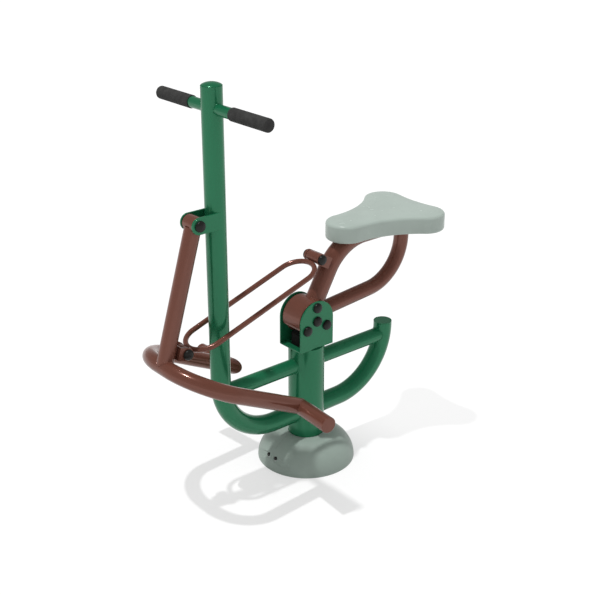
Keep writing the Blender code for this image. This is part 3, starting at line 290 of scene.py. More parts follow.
def noise(tree, scale, detail=3.0):
    """Noise on the object's own coordinates, from 0 to 1."""
    place = tree.nodes.get("place") or tree.nodes.new("ShaderNodeTexCoord")
    place.name = "place"
    made = add_node(tree, "ShaderNodeTexNoise", scale=scale, detail=detail, vector=place.outputs["Object"])
    return made.outputs["Fac"]


def between(tree, value, low, high, start=0.3, end=0.7):
    """Spreads a value over a new range."""
    made = add_node(tree, "ShaderNodeMapRange", value=value, from_min=start, from_max=end, to_min=low, to_max=high)
    return made.outputs["Result"]


def mixed(tree, factor, first, second):
    """Mixes two colours by a factor. Each may be a socket."""
    node = add_node(tree, "ShaderNodeMix", data_type="RGBA", factor=factor)
    feed(tree, node.inputs[6], first)
    feed(tree, node.inputs[7], second)
    return node.outputs[2]


def shade(colour, share):
    return (*(channel * share for channel in colour), 1)


def bumped(tree, shader, height, strength, distance):
    """Adds a bump to what the shader's normal holds already."""
    bump = add_node(tree, "ShaderNodeBump", strength=strength, distance=distance, height=height)
    if shader.inputs["Normal"].links:
        tree.links.new(shader.inputs["Normal"].links[0].from_socket, bump.inputs["Normal"])
    tree.links.new(bump.outputs["Normal"], shader.inputs["Normal"])


# Materials

def plain_material(name, colour, roughness, metallic=0.0, specular=0.5):
    """A new material, its node tree and its Principled shader."""
    made = bpy.data.materials.new(name)
    made.use_nodes = True
    made.diffuse_color = (*colour, 1)
    shader = made.node_tree.nodes["Principled BSDF"]
    for label, value in (("Base Color", (*colour, 1)), ("Roughness", roughness), ("Metallic", metallic),
                         ("Specular IOR Level", specular)):
        shader.inputs[label].default_value = value
    return made, made.node_tree, shader


def coloured(tree, shader, colour, scale, detail, dark, light):
    """Lets the shader's colour drift between two shades of itself."""
    share = between(tree, noise(tree, scale, detail), 0.0, 1.0)
    tree.links.new(mixed(tree, share, shade(colour, dark), shade(colour, light)), shader.inputs["Base Color"])


def glossed(tree, shader, scale, low, high):
    """Lets the shader's roughness drift."""
    tree.links.new(between(tree, noise(tree, scale), low, high), shader.inputs["Roughness"])


def powder_coat(name, colour):
    """Glossy baked powder with metal flake: slow colour drift, fine specks and a faint flow ripple."""
    made, tree, shader = plain_material(name, colour, 0.2, FLAKE_SHARE, 0.4)
    coloured(tree, shader, colour, 4.0, 2.0, 0.95, 1.06)
    base = shader.inputs["Base Color"]
    speck = between(tree, noise(tree, 420.0, 2.0), 0.0, 0.5)
    tree.links.new(mixed(tree, speck, base.links[0].from_socket, shade(colour, 1.12)), base)
    glossed(tree, shader, 35.0, 0.17, 0.23)
    bumped(tree, shader, noise(tree, 260.0, 1.0), 0.10, 0.0004)
    bumped(tree, shader, noise(tree, 38.0, 2.0), 0.05, 0.0008)
    return made


def moulded_plastic(name, colour, low, high, grain, strength):
    """Moulded plastic: a fine leathery grain, a slow drift of gloss and faint mottling."""
    made, tree, shader = plain_material(name, colour, (low + high) / 2, specular=0.22)
    coloured(tree, shader, colour, 9.0, 4.0, 0.95, 1.05)
    glossed(tree, shader, 26.0, low, high)
    bumped(tree, shader, noise(tree, grain, 2.0), strength, 0.0004)
    return made


def foam_rubber(name, colour):
    """Closed cell foam: matt, with fine pores."""
    made, tree, shader = plain_material(name, colour, 0.82, specular=0.15)
    coloured(tree, shader, colour, 60.0, 5.0, 0.85, 1.25)
    pores = add_node(tree, "ShaderNodeTexVoronoi", scale=900.0, vector=tree.nodes["place"].outputs["Object"])
    bumped(tree, shader, pores.outputs["Distance"], 0.30, 0.0005)
    bumped(tree, shader, noise(tree, 130.0), 0.15, 0.0006)
    return made


def plated_steel(name, colour):
    """Plated steel: soft spangle and uneven shine."""
    made, tree, shader = plain_material(name, colour, 0.34, 1.0)
    coloured(tree, shader, colour, 150.0, 4.0, 0.88, 1.05)
    glossed(tree, shader, 90.0, 0.26, 0.46)
    bumped(tree, shader, noise(tree, 700.0, 1.0), 0.08, 0.0002)
    return made


def bare_bronze(name, colour):
    """Plain bearing bronze, dulled by oil."""
    made, tree, shader = plain_material(name, colour, 0.4, 1.0)
    coloured(tree, shader, colour, 180.0, 4.0, 0.6, 1.0)
    glossed(tree, shader, 80.0, 0.3, 0.55)
    return made


GREEN = powder_coat("green_powder_coat", (0.0126, 0.152, 0.0680))
BROWN = powder_coat("brown_powder_coat", (0.154, 0.0565, 0.0385))
COVER_PLASTIC = moulded_plastic("cover_moulding", (0.268, 0.328, 0.292), 0.34, 0.46, 420.0, 0.16)
SEAT_PLASTIC = moulded_plastic("seat_moulding", (0.366, 0.428, 0.391), 0.20, 0.28, 520.0, 0.012)
CAP_PLASTIC = moulded_plastic("cap_moulding", (0.0125, 0.0125, 0.0112), 0.30, 0.42, 600.0, 0.12)
GRIP_FOAM = foam_rubber("grip_foam", (0.037, 0.037, 0.036))
# Near-black rubber for the stop buffers: black rubber, kept this dark so it also stands in as painted shade inside the
# hub
BUFFER_RUBBER_AND_SHADE = foam_rubber("buffer_rubber", (0.006, 0.006, 0.0055))
ZINC_STEEL = plated_steel("zinc_plate", (0.56, 0.57, 0.58))
BLACKENED_STEEL = plated_steel("blackened_screws", (0.045, 0.046, 0.045))
BRONZE = bare_bronze("bush_bronze", (0.45, 0.30, 0.15))
PAINT = {"frame": GREEN, "foot_lever": BROWN, "link": BROWN, "seat_arm": BROWN}


# Centre lines

def in_xz(x, z):
    return Vector((x, 0, z))


def spoke(angle, first, second):
    """The direction at an angle in the plane of two unit vectors."""
    return cos(angle) * first + sin(angle) * second


def even(start, end, steps):
    """Evenly spaced numbers, both ends included."""
    return [start + (end - start) * index / steps for index in range(steps + 1)]


def quarter(steps, end_deg=90):
    """Even angles from 0 up, for a dome or a rounded edge."""
    return [radians(angle) for angle in even(0, end_deg, steps)]


def arc(centre, first, second, radius, start_deg, end_deg, steps=None):
    """Points of an arc in the plane of two unit vectors."""
    count = steps or max(1, ceil(abs(end_deg - start_deg) / ARC_STEP_DEG))
    return [centre + radius * spoke(radians(angle), first, second) for angle in even(start_deg, end_deg, count)]


def flat_arc(centre, radius, start_deg, end_deg, steps=None):
    return arc(Vector(centre), Vector((1, 0)), Vector((0, 1)), radius, start_deg, end_deg, steps)


def bent(corners, radius):
    """A tube's centre line: straight runs with an arc at each inner corner."""
    path = [corners[0]]
    for before, corner, after in zip(corners, corners[1:], corners[2:]):
        inward = (before - corner).normalized()
        onward = (after - corner).normalized()
        half_angle = inward.angle(onward) / 2
        middle = corner + (inward + onward).normalized() * radius / sin(half_angle)
        start, finish = [(corner + way * radius / tan(half_angle) - middle).normalized() for way in (inward, onward)]
        square = (finish - start * start.dot(finish)).normalized()
        path += arc(middle, start, square, radius, 0, degrees(start.angle(finish)))
    path.append(corners[-1])
    return path


def keel_path(reach, top):
    corners = [in_xz(reach, top), in_xz(reach, KEEL_LEVEL), in_xz(copysign(POST_RADIUS / 2, reach), KEEL_LEVEL)]
    return bent(corners, KEEL_BEND)


def brace_path(reach):
    return [in_xz(reach, BRACE_LEVEL), in_xz(copysign(POST_RADIUS / 2, reach), BRACE_LEVEL)]


def upper_arm_path():
    base = HUB + in_xz(-ARM_UP.z, ARM_UP.x) * -ARM_OFFSET
    corner = base + ARM_UP * ((ARM_LEVEL - base.z) / ARM_UP.z)
    return bent([base + ARM_UP * ARM_ROOT, corner, in_xz(LOWER_ARM_REACH, ARM_LEVEL)], ARM_BEND)


def lower_arm_path():
    slope = tan(radians(LOWER_ARM_RISE_DEG))
    first = in_xz(ARM_ROOT, LOWER_ARM_LEVEL + ARM_ROOT * slope)
    corner = in_xz(LOWER_ARM_REACH, LOWER_ARM_LEVEL + LOWER_ARM_REACH * slope)
    return bent([first, corner, in_xz(LOWER_ARM_REACH, ARM_TOP)], LOWER_ARM_BEND)


def bow_path():
    middle = BOW_APEX + BOW_BACK * BOW_BEND
    spread = ACROSS * (BOW_HALF_WIDTH - BOW_BEND)
    left_bend = arc(middle - spread, -BOW_BACK, ACROSS, BOW_BEND, -90, 0)
    right_bend = arc(middle + spread, -BOW_BACK, ACROSS, BOW_BEND, 0, 90)
    arm = BOW_BACK * BOW_ARM
    return [left_bend[0] + arm] + left_bend + right_bend + [right_bend[-1] + arm]


def peg_direction(side):
    sweep = radians(PEG_SWEEP_DEG)
    lift = radians(PEG_LIFT_DEG)
    return Vector((-sin(sweep), side * cos(sweep) * cos(lift), sin(lift))).normalized()


def loop_path():
    along = (REAR_PIVOT - FRONT_PIVOT).normalized()
    apex = sqrt((LINK_BARREL_RADIUS + ROD_RADIUS) ** 2 - LINK_DROP ** 2) + LINK_HALF_WIDTH
    down = along.cross(ACROSS).normalized() * -LINK_DROP
    path = arc(FRONT_PIVOT + along * apex + down, -along, ACROSS, LINK_HALF_WIDTH, -90, 90)
    return path + arc(REAR_PIVOT - along * apex + down, along, ACROSS, LINK_HALF_WIDTH, 90, -90)


# Geometry node trees

def new_tree(name, **inputs):
    """A geometry node group with named inputs, and its input and output nodes."""
    tree = bpy.data.node_groups.new(name, "GeometryNodeTree")
    for label, kind in {"Geometry": "Geometry", **inputs, "Material": "Material"}.items():
        tree.interface.new_socket(label, in_out="INPUT", socket_type="NodeSocket" + kind)
    tree.interface.new_socket("Geometry", in_out="OUTPUT", socket_type="NodeSocketGeometry")
    return tree, tree.nodes.new("NodeGroupInput"), tree.nodes.new("NodeGroupOutput")


def finish_tree(tree, given, result, geometry):
    """Realizes the geometry and gives it the tree's material."""
    real = add_node(tree, "GeometryNodeRealizeInstances", geometry=geometry).outputs[0]
    paint = add_node(tree, "GeometryNodeSetMaterial", geometry=real, material=given.outputs["Material"])
    tree.links.new(paint.outputs[0], result.inputs[0])
    return tree


def swept_ring(tree, given, **settings):
    """A ring swept along the lines that the tree is given, closed at its ends."""
    ring = add_node(tree, "GeometryNodeCurvePrimitiveCircle", radius=given.outputs["Radius"],
                    resolution=given.outputs["Sides"])
    line = add_node(tree, "GeometryNodeMeshToCurve", mesh=given.outputs[0])
    sweep = add_node(tree, "GeometryNodeCurveToMesh", curve=line.outputs[0], profile_curve=ring.outputs[0],
                     fill_caps=True, **settings)
    return sweep.outputs[0]


def swept_tube_tree():
    """A round tube or bar along a line of points."""
    tree, given, result = new_tree("swept_tube", Radius="Float", Sides="Int")
    return finish_tree(tree, given, result, swept_ring(tree, given))


def weld_bead_tree():
    """A weld bead along a line, with the even ripple that each puddle of weld leaves."""
    tree, given, result = new_tree("weld_bead", Radius="Float", Ripple="Float", Pitch="Float", Sides="Int")
    travel = tree.nodes.new("GeometryNodeSplineParameter")
    turns = computed(tree, "DIVIDE", travel.outputs["Length"], given.outputs["Pitch"])
    wave = computed(tree, "SINE", computed(tree, "MULTIPLY", turns, tau))
    swell = computed(tree, "MULTIPLY_ADD", wave, given.outputs["Ripple"], 1.0)
    return finish_tree(tree, given, result, swept_ring(tree, given, scale=swell))


def repeated_tree():
    """One small piece at each point, its own Z turned to the point's outward direction."""
    tree, given, result = new_tree("repeated_fastener", Piece="Object")
    outward = add_node(tree, "GeometryNodeInputNamedAttribute", data_type="FLOAT_VECTOR", name="outward")
    turn = add_node(tree, "FunctionNodeAlignRotationToVector", axis="Z", vector=outward.outputs["Attribute"])
    piece = add_node(tree, "GeometryNodeObjectInfo", object=given.outputs["Piece"])
    place = add_node(tree, "GeometryNodeInstanceOnPoints", points=given.outputs[0],
                     instance=piece.outputs["Geometry"], rotation=turn.outputs["Rotation"])
    return finish_tree(tree, given, result, place.outputs[0])


SWEPT_TUBE = swept_tube_tree()
WELD_BEAD = weld_bead_tree()
REPEATED = repeated_tree()


def line_mesh(paths, closed=False):
    """Points joined into lines, one for each path."""
    data = bpy.data.meshes.new("line")
    points = []
    edges = []
    for path in paths:
        places = range(len(points), len(points) + len(path))
        edges += zip(places, places[1:])
        if closed:
            edges.append((places[-1], places[0]))
        points += path
    data.from_pydata(points, edges, [])
    return data


def new_object(name, data):
    made = bpy.data.objects.new(name, data)
    SCENE.collection.objects.link(made)
    return made


def grown(name, data, tree, values):
    """Runs a node tree on a mesh. Returns a plain mesh object at the origin."""
    seed = new_object(name, data)
    modifier = seed.modifiers.new("nodes", "NODES")
    modifier.node_group = tree
    for item in tree.interface.items_tree:
        if item.name in values:
            modifier[item.identifier] = values[item.name]
    return settled(seed)


def settled(piece, spent=()):
    """Turns an object with live modifiers into a plain mesh object, and removes what they used."""
    bpy.context.view_layer.update()
    graph = bpy.context.evaluated_depsgraph_get()
    made = bpy.data.meshes.new_from_object(piece.evaluated_get(graph), depsgraph=graph)
    made.transform(piece.matrix_world)
    name = piece.name
    for used in (piece, *spent):
        bpy.data.objects.remove(used)
    made.name = name
    return new_object(name, made)


def smooth(piece, sharp_deg=FLAT_SHARP_DEG):
    piece.data.shade_smooth()
    piece.data.set_sharp_from_angle(angle=radians(sharp_deg))
    return piece


# Mesh helpers

def new_piece(name, mesh, finish, move=None):
    """Turns a bmesh into a piece with its place in its mesh."""
    bmesh.ops.recalc_face_normals(mesh, faces=mesh.faces)
    if move:
        mesh.transform(move)
    data = bpy.data.meshes.new(name)
    mesh.to_mesh(data)
    mesh.free()
    data.materials.append(finish)
    return smooth(new_object(name, data))


def standing_at(centre):
    return Matrix.Translation(centre) @ STANDING


def join_rings(mesh, first, second):
    """Faces between two rings of corners. Either ring may be a single corner."""
    sides = max(len(first), len(second))
    for index in range(sides):
        after = (index + 1) % sides
        corners = [ring[place % len(ring)] for ring, place in
                   ((first, index), (first, after), (second, after), (second, index))]
        if len(set(corners)) > 2:
            mesh.faces.new(list(dict.fromkeys(corners)))


def band(inner, outer, low, high):
    """The profile of a plain ring, or of a plain cylinder if inner is 0."""
    return [(inner, low), (outer, low), (outer, high), (inner, high)]


def turned(profile, sides=ROUND_SIDES, closed=False, mesh=None):
    """A turned solid about Z from (radius, height) points. An open profile starts and ends on the axis."""
    mesh = mesh or bmesh.new()
    angles = [tau * side / sides for side in range(sides)]
    rings = []
    for radius, height in profile:
        spots = [(radius * cos(angle), radius * sin(angle), height) for angle in (angles if radius > 0 else [0])]
        rings.append([mesh.verts.new(spot) for spot in spots])
    for first, second in zip(rings, rings[1:] + rings[:1] if closed else rings[1:]):
        join_rings(mesh, first, second)
    return mesh


def rounded(profile, rounding, steps=4):
    """Rounds the corners of a profile. Each corner off the axis is cut back by the rounding at most."""
    result = [profile[0]]
    for before, corner, after in zip(profile, profile[1:], profile[2:]):
        here = Vector(corner)
        back = Vector(before) - here
        ahead = Vector(after) - here
        cut = min(rounding, back.length * 0.45, ahead.length * 0.45)
        start = here + back.normalized() * cut
        finish = here + ahead.normalized() * cut
        for share in even(0, 1, steps):
            point = start.lerp(here, share).lerp(here.lerp(finish, share), share)
            result.append((max(point.x, 0.0), point.y))
    result.append(profile[-1])
    return result


def skinned(rings):
    """A solid from rings of points, closed at both ends."""
    mesh = bmesh.new()
    rings = [[mesh.verts.new(point) for point in ring] for ring in rings]
    for first, second in zip(rings, rings[1:]):
        join_rings(mesh, first, second)
    mesh.faces.new(rings[0])
    mesh.faces.new(rings[-1])
    return mesh


def prism(outline, low, high):
    return skinned([[(x, y, level) for x, y in outline] for level in (low, high)])


def carve(piece, cutter):
    cut = piece.modifiers.new("carve", "BOOLEAN")
    cut.operation = "DIFFERENCE"
    cut.solver = "EXACT"
    cut.object = cutter


def mount(piece, body, *nodes):
    """Makes a piece ride on its body, in the place of its CAD nodes."""
    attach(piece, body)
    if nodes:
        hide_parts(*nodes)


def plate(name, outline, low, high, body, *nodes, rounding=EDGE_ROUNDING, cutters=()):
    """A flat plate with eased edges, standing across the rider: outline in X and Z, thickness in Y."""
    piece = new_piece(name, prism(outline, -high, -low), PAINT[body], STANDING)
    for cutter in cutters:
        carve(piece, cutter)
    ease = piece.modifiers.new("ease", "BEVEL")
    ease.width = rounding
    ease.segments = 3
    ease.limit_method = "ANGLE"
    ease.angle_limit = radians(PLATE_EASE_DEG)
    ease.harden_normals = True
    mount(settled(piece, spent=cutters), body, *nodes)


def swept(name, path, radius, body, node, closed=False, sides=ROUND_SIDES):
    """A tube along a path, made by the node tree."""
    values = {"Radius": radius, "Sides": sides, "Material": PAINT[body]}
    mount(smooth(grown(name, line_mesh([path], closed), SWEPT_TUBE, values)), body, node)


def beads(name, paths, radius, body, closed=True):
    """Weld beads along lines."""
    values = {"Radius": radius, "Ripple": BEAD_RIPPLE, "Pitch": BEAD_PITCH, "Sides": BEAD_SIDES,
              "Material": PAINT[body]}
    mount(smooth(grown(name, line_mesh(paths, closed), WELD_BEAD, values), BEAD_SHARP_DEG), body)


def rim_offsets(direction, radius):
    """Even offsets from a tube's centre line to its wall."""
    side = direction.orthogonal().normalized()
    upward = direction.cross(side)
    return [radius * spoke(tau * index / SEAM_STEPS, side, upward) for index in range(SEAM_STEPS)]


def saddle(start, direction, radius, axis_point, axis, axis_radius):
    """The line where a tube first meets a round tube. start is any point on its centre line."""
    across = direction - axis * direction.dot(axis)
    quadratic = across.dot(across)
    points = []
    for offset in rim_offsets(direction, radius):
        edge = start + offset
        away = edge - axis_point
        away -= axis * away.dot(axis)
        linear = across.dot(away)
        root = max(linear ** 2 - quadratic * (away.dot(away) - axis_radius ** 2), 0.0)
        points.append(edge - direction * ((linear + sqrt(root)) / quadratic))
    return points


def mitre_line(corner, direction, face):
    """The ellipse where a peg meets the bow."""
    slant = direction.dot(face)
    return [corner + offset - direction * offset.dot(face) / slant
            for offset in rim_offsets(direction, LEVER_RADIUS - FIT)]


def repeated(name, fastener, spots):
    """One fastener at every spot, as one piece. A spot holds a point and the way outward."""
    points = [point for point, way in spots]
    outward = [part for point, way in spots for part in way]
    data = bpy.data.meshes.new(name + "_points")
    data.from_pydata(points, [], [])
    data.attributes.new("outward", "FLOAT_VECTOR", "POINT").data.foreach_set("vector", outward)
    piece = smooth(grown(name, data, REPEATED, {"Piece": fastener, "Material": CAP_PLASTIC}))
    bpy.data.objects.remove(fastener)
    return piece


def barrel(name, centre, bore, radius, half, sides, body, node):
    """A plain barrel across the rider, eased at its outer edges."""
    mesh = turned(rounded(band(bore, radius, -half, half), TURNED_EDGE), sides, True)
    mount(new_piece(name, mesh, BROWN, standing_at(centre)), body, node)


def bushes(node, centre, face, pin_radius, barrel_radius, body):
    """A pair of flanged bushes that face outward."""
    bore = pin_radius + BUSH_BORE_SLACK
    outer = bore + BUSH_WALL
    flange_radius = barrel_radius - FLANGE_INSET
    profile = [(bore, -BUSH_LENGTH), (outer, -BUSH_LENGTH), (outer, -BUSH_FLANGE), (flange_radius, -BUSH_FLANGE),
               (flange_radius, 0), (bore, 0)]
    for name, way, turn in ((node + "_left", -1, STANDING), (node + "_right", 1, STANDING_BACK)):
        place = Matrix.Translation(centre + ACROSS * (way * face)) @ turn
        mount(new_piece(name + "_ring", turned(profile, SMALL_SIDES, True), BRONZE, place), body, name)


def cap_outline(start):
    """A cap's outline from its foot to the middle of its dome, with a fine step above its foot."""
    edge = CAP_HEIGHT * CAP_EDGE_SHARE
    points = [(CAP_RADIUS - 0.0004, start), (CAP_RADIUS, start + 0.0004), (CAP_RADIUS, start + edge - 0.0009)]
    points += [((CAP_RADIUS - FIT) * cos(angle), start + edge + (CAP_HEIGHT - edge) * sin(angle))
               for angle in quarter(14)[:-1]]
    return points + [(0, start + CAP_HEIGHT)]


def cross_pin(name, centre, half_width, radius, body, node):
    """A pin across two plates with a domed cap on each end."""
    face = half_width + FIT
    half = [(radius, 0.0), (radius, face)] + cap_outline(face)
    profile = [(across, -height) for across, height in half[::-1]][:-1] + half[1:]
    mount(new_piece(name, turned(profile, SMALL_SIDES), CAP_PLASTIC, standing_at(centre)), body, node)


# Fixed frame

def tube_cap(name, reach, top, node, dome_rise=0.0):
    """The cap of an upright tube: a flat top with a thin edge, or a dome that starts at the tube's wall."""
    wall = FRAME_RADIUS
    profile = [(0, -PLUG_DEPTH), (wall - PLUG_DEPTH, -PLUG_DEPTH), (wall - 0.0035, FIT), (wall - 0.0002, FIT)]
    if dome_rise:
        profile += [(wall * cos(angle), FIT + dome_rise * sin(angle) ** 1.5) for angle in quarter(25)[1:-1]]
        profile.append((0, FIT + dome_rise))
    else:
        profile += [(wall, 0.0007), (wall, CAP_EDGE - 0.0006), (wall - 0.0006, CAP_EDGE), (0, CAP_EDGE)]
    place = Matrix.Translation(in_xz(reach, top))
    mount(new_piece(name, turned(profile), GREEN, place), "frame", node)


def fixed_frame():
    profile = rounded(band(0, POST_RADIUS, POST_FOOT, POST_TOP), TURNED_EDGE)
    mount(new_piece("post_tube", turned(profile, POST_SIDES), GREEN), "frame", "post")
    for name, path, radius, node in (
            ("pillar_and_keel", keel_path(-PILLAR_REACH, PILLAR_TOP), FRAME_RADIUS, "front_tube"),
            ("rear_keel", keel_path(REAR_REACH, REAR_TOP), FRAME_RADIUS, "rear_tube"),
            ("front_brace_tube", brace_path(-PILLAR_REACH), BRACE_RADIUS, "front_brace"),
            ("rear_brace_tube", brace_path(REAR_REACH), BRACE_RADIUS, "rear_brace")):
        swept(name, path, radius, "frame", node)
    tube_cap("pillar_dome", -PILLAR_REACH, PILLAR_TOP, "pillar_cap", PILLAR_DOME)
    tube_cap("rear_end_cap", REAR_REACH, REAR_TOP, "rear_tube_cap")


def handlebar():
    """The bar through the pillar and the foam grip over each of its ends."""
    centre = in_xz(-PILLAR_REACH, BAR_LEVEL)
    ends = [centre + ACROSS * (way * BAR_HALF_LENGTH) for way in (-1, 1)]
    swept("handlebar_tube", ends, BAR_RADIUS, "frame", "handlebar")
    outline = rounded([(BAR_RADIUS, GRIP_START), (GRIP_RADIUS, GRIP_START), (GRIP_RADIUS, GRIP_START + 0.02)], 0.0016)
    outline += rounded([(GRIP_RADIUS, GRIP_END - 0.02), (GRIP_RADIUS, GRIP_END), (0, GRIP_END)], GRIP_ROUNDING, 8)
    outline += [(0, BAR_HALF_LENGTH + FIT), (BAR_RADIUS, BAR_HALF_LENGTH + FIT)]
    for name, turn in (("left_grip", STANDING), ("right_grip", STANDING_BACK)):
        place = Matrix.Translation(centre) @ turn
        mount(new_piece(name + "_foam", turned(outline, closed=True), GRIP_FOAM, place), "frame", name)


def frame_welds():
    """The beads where the frame's tubes meet."""
    lines = []
    for way in (-1, 1):
        inward = Vector((-way, 0, 0))
        brace = in_xz(0, BRACE_LEVEL)
        lines.append(saddle(in_xz(0, KEEL_LEVEL), inward, FRAME_RADIUS, Vector(), UP, POST_RADIUS))
        lines.append(saddle(brace, inward, BRACE_RADIUS, Vector(), UP, POST_RADIUS))
        bend_centre = in_xz(way * (PILLAR_REACH - KEEL_BEND), KEEL_LEVEL + KEEL_BEND)
        below = bend_centre.z - BRACE_LEVEL
        outward = in_xz(way * sqrt(KEEL_BEND ** 2 - below ** 2), -below)
        tangent = in_xz(-outward.z * way, outward.x * way).normalized()
        lines.append(saddle(brace, -inward, BRACE_RADIUS, bend_centre + outward, tangent, FRAME_RADIUS))
    beads("frame_welds", lines, BEAD_RADIUS, "frame")
    lines = [saddle(in_xz(-PILLAR_REACH, BAR_LEVEL), ACROSS * -way, BAR_RADIUS, in_xz(-PILLAR_REACH, 0), UP,
                    FRAME_RADIUS) for way in (-1, 1)]
    beads("handlebar_welds", lines, SMALL_BEAD_RADIUS, "frame")


def plate_pair(node, ending, outline, half_width, thickness):
    """Two like plates on the frame, their outer faces at the half width."""
    for side, low in (("_left", -half_width), ("_right", half_width - thickness)):
        plate(node + side + ending, outline, low, low + thickness, "frame", node + side)


def lever_clevis():
    """The two plates on the pillar and the capped pin through them."""
    outline = flat_arc((LEVER_AXIS.x, LEVER_AXIS.z), CLEVIS_RADIUS, 90, 270)
    outline += [Vector((-PILLAR_REACH, LEVER_AXIS.z + way * CLEVIS_RADIUS)) for way in (-1, 1)]
    plate_pair("lever_clevis", "_plate", outline, FRAME_RADIUS, CLEVIS_THICKNESS)
    cross_pin("lever_pivot_caps", LEVER_AXIS, FRAME_RADIUS, LEVER_PIN_RADIUS, "frame", "lever_pin")


def hub():
    """The side plates, their base plate and the eight capped bolts."""
    foot = [Vector((way * HUB_PLATE_RADIUS, HUB_FOOT)) for way in (-1, 1)]
    outline = flat_arc((0, HUB.z), HUB_PLATE_RADIUS, 0, 180) + foot
    plate_pair("hub_plate", "_cheek", outline, HUB_HALF_WIDTH, HUB_PLATE_THICKNESS)
    half = HUB_HALF_WIDTH - HUB_PLATE_THICKNESS - FIT
    outline = foot + [point + Vector((0, HUB_PLATE_THICKNESS)) for point in foot[::-1]]
    plate("hub_base", outline, -half, half, "frame", "hub_base_plate", rounding=0.0006)
    depth = 2 * HUB_PLATE_THICKNESS
    profile = [(0, -depth), (HUB_BOLT_RADIUS, -depth), (HUB_BOLT_RADIUS, FIT)] + cap_outline(FIT)
    bolt = new_piece("hub_bolt", turned(profile, BOLT_SIDES), CAP_PLASTIC)
    places = [HUB] + arc(HUB, Vector((1, 0, 0)), UP, HUB_BOLT_CIRCLE, *HUB_BOLT_ARC_DEG, 2)
    spots = [((place.x, side * HUB_HALF_WIDTH, place.z), (0.0, float(side), 0.0))
             for side in (-1, 1) for place in places]
    nodes = ["hub_bolt_%s_%d" % (side, number) for side in ("left", "right") for number in (1, 2, 3, 4)]
    mount(repeated("hub_bolt_caps", bolt, spots), "frame", *nodes)


# Ground cover

def cover_screws():
    """The dark heads of the strap screws, sunk into the holes beside both seams of the cover."""
    reach = COVER_NECK + (COVER_RADIUS - COVER_NECK) * cos(asin(SCREW_LEVEL / COVER_HEIGHT))
    face = sqrt(reach ** 2 - SCREW_OFFSET ** 2) - SCREW_HEAD_SUNK
    radius = SCREW_HOLE_RADIUS - COVER_FIT
    profile = [(0, -SCREW_HEAD_DEPTH), (radius, -SCREW_HEAD_DEPTH)]
    profile += [(radius * cos(angle), SCREW_HEAD_RISE * sin(angle)) for angle in quarter(8)[:-1]]
    head = new_piece("cover_screw", turned(profile + [(0, SCREW_HEAD_RISE)], SCREW_SIDES), CAP_PLASTIC)
    spots = [((end * face, side * SCREW_OFFSET, SCREW_LEVEL), (float(end), 0.0, 0.0))
             for end in (-1, 1) for side in (-1, 1)]
    mount(repeated("cover_screw_heads", head, spots), "frame")


def cover_channel(angle, height):
    """How deep the screwdriver's channel is at a place of the dome. angle runs from the seam at the front."""
    along = angle * COVER_RADIUS - SCREW_OFFSET
    middle = SCREW_LEVEL - CHANNEL_DROP * max(along, 0.0) / CHANNEL_LENGTH
    off = hypot(height - middle, max(along - CHANNEL_LENGTH, -along, 0.0))
    if off >= CHANNEL_HALF_WIDTH:
        return 0.0
    fade = 1 - CHANNEL_FADE * min(max(along / CHANNEL_LENGTH, 0.0), 1.0)
    return CHANNEL_DEPTH * fade * min(1.0, (1 - off / CHANNEL_HALF_WIDTH) * 4.0) ** 0.8


def half_cover(name, side):
    """One half of the domed cover: a shell with a seam edge and a channel at the screw."""
    low, high = CHANNEL_BAND_DEG
    rise = even(0, low, 6)[:-1] + even(low, high, 28) + even(high, 90, 26)[1:]
    angles = [radians(angle) for angle in rise]
    reach = COVER_RADIUS - COVER_NECK
    outline = [(COVER_NECK + (reach - inset) * cos(angle), (COVER_HEIGHT - inset) * sin(angle), inset)
               for inset, order in ((0.0, angles), (COVER_WALL, angles[::-1])) for angle in order]
    mesh = bmesh.new()
    rings = []
    for turn in even(0, pi, COVER_STEPS):
        places = []
        for radius, height, inset in outline:
            if not inset:
                radius -= cover_channel(pi - turn, height)
            places.append((radius * cos(turn), side * (radius * sin(turn) + COVER_SEAM), height + FIT))
        rings.append([mesh.verts.new(place) for place in places])
    for first, second in zip(rings, rings[1:]):
        join_rings(mesh, first, second)
    for ring in (rings[0], rings[-1]):
        for index in range(len(angles) - 1):
            mesh.faces.new((ring[index], ring[index + 1], ring[-2 - index], ring[-1 - index]))
    piece = new_piece(name + "_dome", mesh, COVER_PLASTIC)
    drill = turned(band(0, SCREW_HOLE_RADIUS, -COVER_RADIUS, COVER_RADIUS), SCREW_SIDES)
    place = Matrix.Translation((0, side * SCREW_OFFSET, SCREW_LEVEL)) @ LYING
    hole = new_piece("screw_hole", drill, COVER_PLASTIC, place)
    carve(piece, hole)
    mount(smooth(settled(piece, spent=[hole]), COVER_SHARP_DEG), "frame", name)


# Foot lever

def rim(point, forward, across, radius=LEVER_RADIUS, face=None):
    """Points round a bar, on a slanted face if one is given."""
    upward = forward.cross(across).normalized()
    offsets = [radius * spoke(tau * side / ROUND_SIDES, across, upward) for side in range(ROUND_SIDES)]
    if face:
        offsets = [offset - forward * offset.dot(face) / forward.dot(face) for offset in offsets]
    return [point + offset for offset in offsets]


def in_plane(points):
    return [Vector((point.x, point.z)) for point in points]


